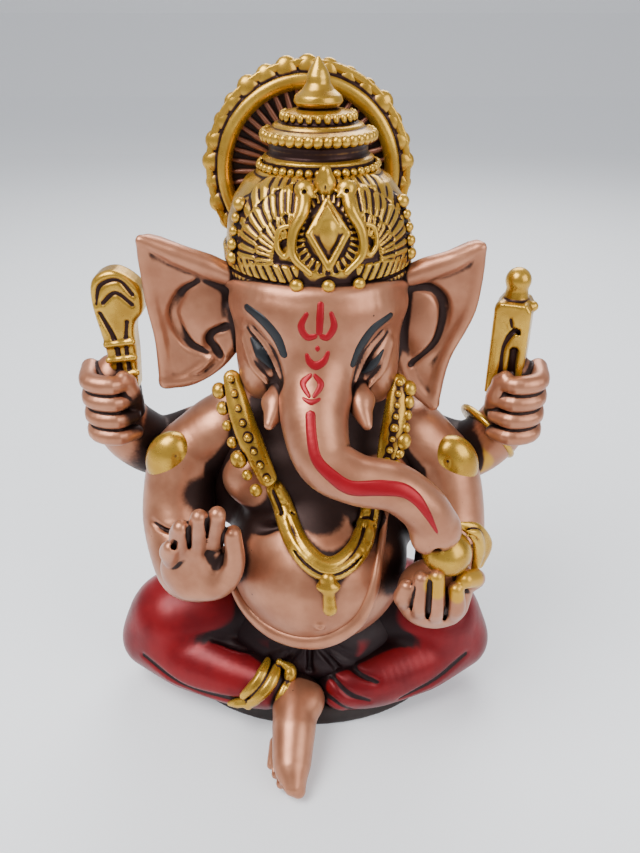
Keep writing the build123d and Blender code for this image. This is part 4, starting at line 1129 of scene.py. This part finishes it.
def brushStroke(clay, points, widths, direction=(0, 1, 0), lift=0.1, rows=7):
    direction = np.array(direction, float) / np.linalg.norm(direction)
    path = np.array(smoothPath(points, 14 * len(points)))
    sizes = np.interp(np.linspace(0, 1, len(path)), np.linspace(0, 1, len(widths)), widths)
    passed = np.concatenate([[0], np.cumsum(np.linalg.norm(np.diff(path, axis=0), axis=1))])
    left = np.clip(np.minimum(passed, passed[-1] - passed) / (sizes / 2), 0, 1)
    sizes = np.maximum(sizes * np.sqrt(1 - (1 - left) ** 2), 0.08)
    tops, bottoms = [], []
    for i, point in enumerate(path):
        run = path[min(i + 1, len(path) - 1)] - path[max(i - 1, 0)]
        side = np.cross(run, direction)
        side /= max(np.linalg.norm(side), 1e-9)
        for j in range(rows):
            share = 2 * j / (rows - 1) - 1
            start = point + side * share * sizes[i] / 2 - direction * 16
            place = clay.hit(start, direction, 34)
            if place is None:
                place = point
            up = clay.outward(place)
            end = min(i, len(path) - 1 - i)
            height = lift * math.sqrt(max(0, 1 - share ** 2)) * min(1, (end + 0.4) / 1.5)
            tops.append(place + up * height)
            bottoms.append(place - up * 0.25)
    count = len(path)
    points3 = np.array(tops + bottoms)
    half = len(tops)
    faces = []
    for i in range(count - 1):
        for j in range(rows - 1):
            a, b, c, d = i * rows + j, i * rows + j + 1, (i + 1) * rows + j + 1, (i + 1) * rows + j
            faces += [(a, b, c, d), (half + d, half + c, half + b, half + a)]
        for j, flip in ((0, False), (rows - 1, True)):
            a, d = i * rows + j, (i + 1) * rows + j
            wall = (a, d, half + d, half + a)
            faces.append(wall[::-1] if flip else wall)
    for i, flip in ((0, True), (count - 1, False)):
        for j in range(rows - 1):
            a, b = i * rows + j, i * rows + j + 1
            wall = (a, b, half + b, half + a)
            faces.append(wall if not flip else wall[::-1])
    # the faces are turned outwards if the stroke ran the other way
    volume = sum(np.dot(points3[f[0]], np.cross(points3[f[1]], points3[f[2]])) + np.dot(points3[f[0]],
            np.cross(points3[f[2]], points3[f[3]]))
                 for f in faces)
    if volume < 0:
        faces = [f[::-1] for f in faces]
    return points3, faces


def brushed(name, strokes, finish, slot, direction=(0, 1, 0)):
    allPoints, allFaces = [], []
    for points, widths in strokes:
        made, faces = brushStroke(headClay, points, widths, direction)
        shift = sum(len(p) for p in allPoints)
        allPoints.append(made)
        allFaces += [tuple(i + shift for i in f) for f in faces]
    keep(name, [], slot, finish, points=np.vstack(allPoints), faces=allFaces, soak=0.0)


marks = {
    "browMarks": ("kohl", "dark_paint", [
        ([(-7.9, -10, 69.8), (-5.7, -12, 68.8), (-3.8, -14, 66.8), (-2.8, -15, 64.2)],
         [0.9, 1.35, 1.35, 1.0]),
        ([(10.8, -10, 68.7), (8.4, -12, 67.6), (6.8, -14, 65.5), (5.7, -15, 62.9)], [0.9, 1.3, 1.3, 1.0])]),
    "eyeMarks": ("kohl", "dark_paint", [
        ([(-7.3, -11, 65.5), (-5.9, -12, 63.8), (-4.4, -13, 61.8)], [0.4, 1.9, 0.4]),
        ([(9.8, -11, 64.0), (8.4, -12, 62.2), (7.0, -13, 61.2)], [0.3, 1.3, 0.3])]),
    "foreheadMarks": ("mark", "red_paint", [
        ([(1.7, -14, 71.5), (1.6, -14, 69.6), (1.5, -14, 67.5)], [0.8, 0.95, 0.8]),
        ([(0.1, -14, 70.3), (-0.7, -14, 68.6), (0.0, -14, 67.3), (1.3, -14, 67.5)], [0.5, 0.9, 0.9, 0.6]),
        ([(2.9, -14, 70.4), (3.3, -14, 68.6), (2.5, -14, 67.3), (1.5, -14, 67.5)], [0.5, 0.9, 0.9, 0.6]),
        ([(1.0, -15, 65.9), (1.6, -15, 65.9)], [0.8, 0.8]),
        ([(-0.1, -15, 65.3), (0.3, -15, 64.3), (1.1, -15, 63.9), (2.1, -15, 64.4), (2.7, -15, 65.6)],
         [0.45, 0.9, 1.0, 0.9, 0.45]),
        # a plain lotus bud below them
        ([(0.6, -16, 63.0), (-0.5, -16, 61.9), (0.4, -16, 60.7)], [0.4, 0.85, 0.4]),
        ([(0.8, -16, 63.0), (1.7, -16, 61.9), (0.7, -16, 60.7)], [0.4, 0.85, 0.4]),
        ([(-0.6, -16, 60.6), (0.5, -16, 60.3), (1.7, -16, 60.6)], [0.3, 0.6, 0.3]),
    ]),
}
for name, (finish, slot, strokes) in marks.items():
    brushed(name, strokes, finish, slot)
stripe = [(0.4, -20, 59.7), (0.6, -22, 57.0), (1.2, -24, 55.1), (3.0, -25, 53.4), (5.3, -26, 52.3),
          (9.0, -26, 52.3), (11.5, -26, 52.0), (13.2, -26, 50.8), (14.7, -26, 48.5), (16.2, -26, 45.5)]
brushed("trunkStripe", [(stripe, [1.25, 1.3, 1.4, 1.6, 1.85, 2.0, 1.8, 1.5, 1.0, 0.3])], "mark", "red_paint",
        (0, 0.87, -0.5))

# wash and painted shade: how hollow each spot is, near it and in the whole figure


def surfaceField(piece):
    if piece["clay"] is not None:
        clay = piece["clay"]
        return clay.field, clay.low, clay.voxel
    voxel = 0.22
    triangles = []
    for face in piece["faces"]:
        triangles += [(face[0], face[i], face[i + 1]) for i in range(1, len(face) - 1)]
    grid = openvdb.FloatGrid.createLevelSetFromPolygons(
        piece["points"].astype(np.float32), triangles=np.array(triangles, np.uint32),
        transform=openvdb.createLinearTransform(voxelSize=voxel), halfWidth=4.0)
    first, last = grid.evalActiveVoxelBoundingBox()
    field = np.full(np.array(last) - np.array(first) + 1, 4 * voxel, np.float32)
    grid.copyToArray(field, ijk=first)
    return field, np.array(first) * voxel, voxel


washAndShade = {"near": 1.9, "wide": 1.3, "sheltered": 5.4, "open": 0.48,
        "paintedShadeEdge": 3.0, "giltEdge": 0.4}
figure = Clay((-40, -38, -4), (42, 16, 102), 0.6)
figure.field[:] = 1.8
for piece in pieces:
    if piece["soak"] == 0:
        continue
    field, low, voxel = surfaceField(piece)
    piece["field"], piece["low"], piece["voxel"] = field, low, voxel
    place, x, y, z = figure.block(low + voxel, low + voxel * (np.array(field.shape) - 2))
    shape = figure.field[place].shape
    spots = np.stack([(v + np.zeros(shape)).ravel() for v in (x, y, z)], axis=1)
    values = sampled(np.clip(field, -1.8, 1.8), low, voxel, spots).reshape(shape)
    figure.field[place] = np.minimum(figure.field[place], values)
# nearField and wideField measure creases at two sizes, and sheltered how much of the figure closes round a
# spot; all three set the painted shade and wash
nearField, wideField = blurred(figure.field, 1.8), blurred(figure.field, 5.0)
sheltered = blurred((figure.field < 0).astype(np.float32), 10.0)
print("wash soaked in")

for piece in pieces:
    points, faces = piece["points"], piece["faces"]
    mesh = bpy.data.meshes.new(piece["name"])
    mesh.from_pydata((points * mm).tolist(), [],
                     [tuple(f) for f in np.array(faces).tolist()] if isinstance(faces, np.ndarray) else faces)
    mesh.polygons.foreach_set("use_smooth", [True] * len(mesh.polygons))
    if piece["soak"] > 0:
        fine = blurred(np.clip(piece["field"], -2.5 * piece["voxel"], 2.5 * piece["voxel"]), 1.6)
        bend = sampled(fine, piece["low"], piece["voxel"], points) / piece["voxel"]
        deep = -sampled(nearField, figure.low, figure.voxel, points)
        wide = -sampled(wideField, figure.low, figure.voxel, points)
        far = sampled(sheltered, figure.low, figure.voxel, points)
        # hollow darkens fine hollows with wash and painted shade, ridgeHighlightAndRub lightens ridges with a
        # painted highlight and rubbed paint, crease is painted shade in creases, between parts and in
        # sheltered spots
        values = {"hollow": np.clip(-bend * 2.6 * piece["soak"], 0, 1),
                  "ridgeHighlightAndRub": np.clip(bend * 1.6, 0, 1),
                  "crease": np.clip(deep * washAndShade["near"] + np.maximum(wide, 0) * washAndShade["wide"]
                                    + np.maximum(far - washAndShade["open"], 0) * washAndShade["sheltered"], 0, 1)}
    else:
        values = {"hollow": np.zeros(len(points)), "ridgeHighlightAndRub": np.zeros(len(points)),
                  "crease": np.zeros(len(points))}
    # painted shade: dark patches where shade falls on the chest, lap, arms and round the eyes, with a soft
    # edge
    for middle, size in piece["marks"].get("paintedShade", []):
        far = np.linalg.norm(points - middle, axis=1)
        values["crease"] = np.maximum(values["crease"],
                                      np.clip((size - far) / washAndShade["paintedShadeEdge"] + 0.4, 0, 1))
    gilt = np.zeros(len(points))
    for middle, size in piece["marks"].get("gilt", []):
        far = np.linalg.norm(points - middle, axis=1)
        gilt = np.maximum(gilt, np.clip((size - far) / washAndShade["giltEdge"] + 0.5, 0, 1))
    values["gilt"] = gilt
    for label, data in values.items():
        mesh.attributes.new(label, "FLOAT", "POINT").data.foreach_set("value", data.astype(np.float32))
    mesh.materials.append(finishes[piece["finish"]])
    item = bpy.data.objects.new(piece["name"], mesh)
    bpy.context.scene.collection.objects.link(item)
    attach(item, "root")
    if piece["nodes"]:
        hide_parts(*piece["nodes"])
print("pieces finished", len(pieces))

# floor, light and camera

floorMesh = bpy.data.meshes.new("floor")
sweep = [(-3.0, 0.0), (0.5, 0.0), (0.7, 0.02), (0.85, 0.09), (0.95, 0.22), (1.0, 0.45), (1.0, 2.2)]
floorMesh.from_pydata([(side, y, z) for y, z in sweep for side in (-3, 3)], [],
                      [(2 * i, 2 * i + 1, 2 * i + 3, 2 * i + 2) for i in range(len(sweep) - 1)])
floor = bpy.data.objects.new("floor", floorMesh)
bpy.context.scene.collection.objects.link(floor)
floorPaint = Paint("paleFloor")
floorMesh.materials.append(floorPaint.finish((0.72, 0.74, 0.76, 1), 0.0, 0.6, floorPaint.noise(40), 0.05))
floorPaint.shader.inputs["Emission Color"].default_value = (0.80, 0.82, 0.88, 1)
floorPaint.shader.inputs["Emission Strength"].default_value = 0.28

lamps = {
    "key": {"place": (-0.16, -0.12, 0.34), "size": 0.22, "power": 2.1},
    "fill": {"place": (0.26, -0.20, 0.22), "size": 0.26, "power": 1.0},
    "back": {"place": (0.05, 0.26, 0.30), "size": 0.24, "power": 1.2},
}
for name, lamp in lamps.items():
    light = bpy.data.lights.new(name, "AREA")
    light.size, light.energy = lamp["size"], lamp["power"]
    item = bpy.data.objects.new(name, light)
    item.location = lamp["place"]
    item.rotation_euler = (Vector((0, 0, 0.05)) - item.location).to_track_quat("-Z", "Y").to_euler()
    bpy.context.scene.collection.objects.link(item)
world = bpy.context.scene.world or bpy.data.worlds.new("studio")
bpy.context.scene.world = world
world.use_nodes = True
world.node_tree.nodes["Background"].inputs[0].default_value = (0.86, 0.86, 0.90, 1)
world.node_tree.nodes["Background"].inputs[1].default_value = 0.42

camera = bpy.data.objects.new("camera", bpy.data.cameras.new("camera"))
camera.data.lens = view["lens"]
camera.data.sensor_width = 36.0
camera.data.clip_start = 0.005
camera.location = [v * mm for v in view["place"]]
camera.rotation_euler = (math.radians(view["pitch"]), 0, 0)
bpy.context.scene.collection.objects.link(camera)
bpy.context.scene.camera = camera
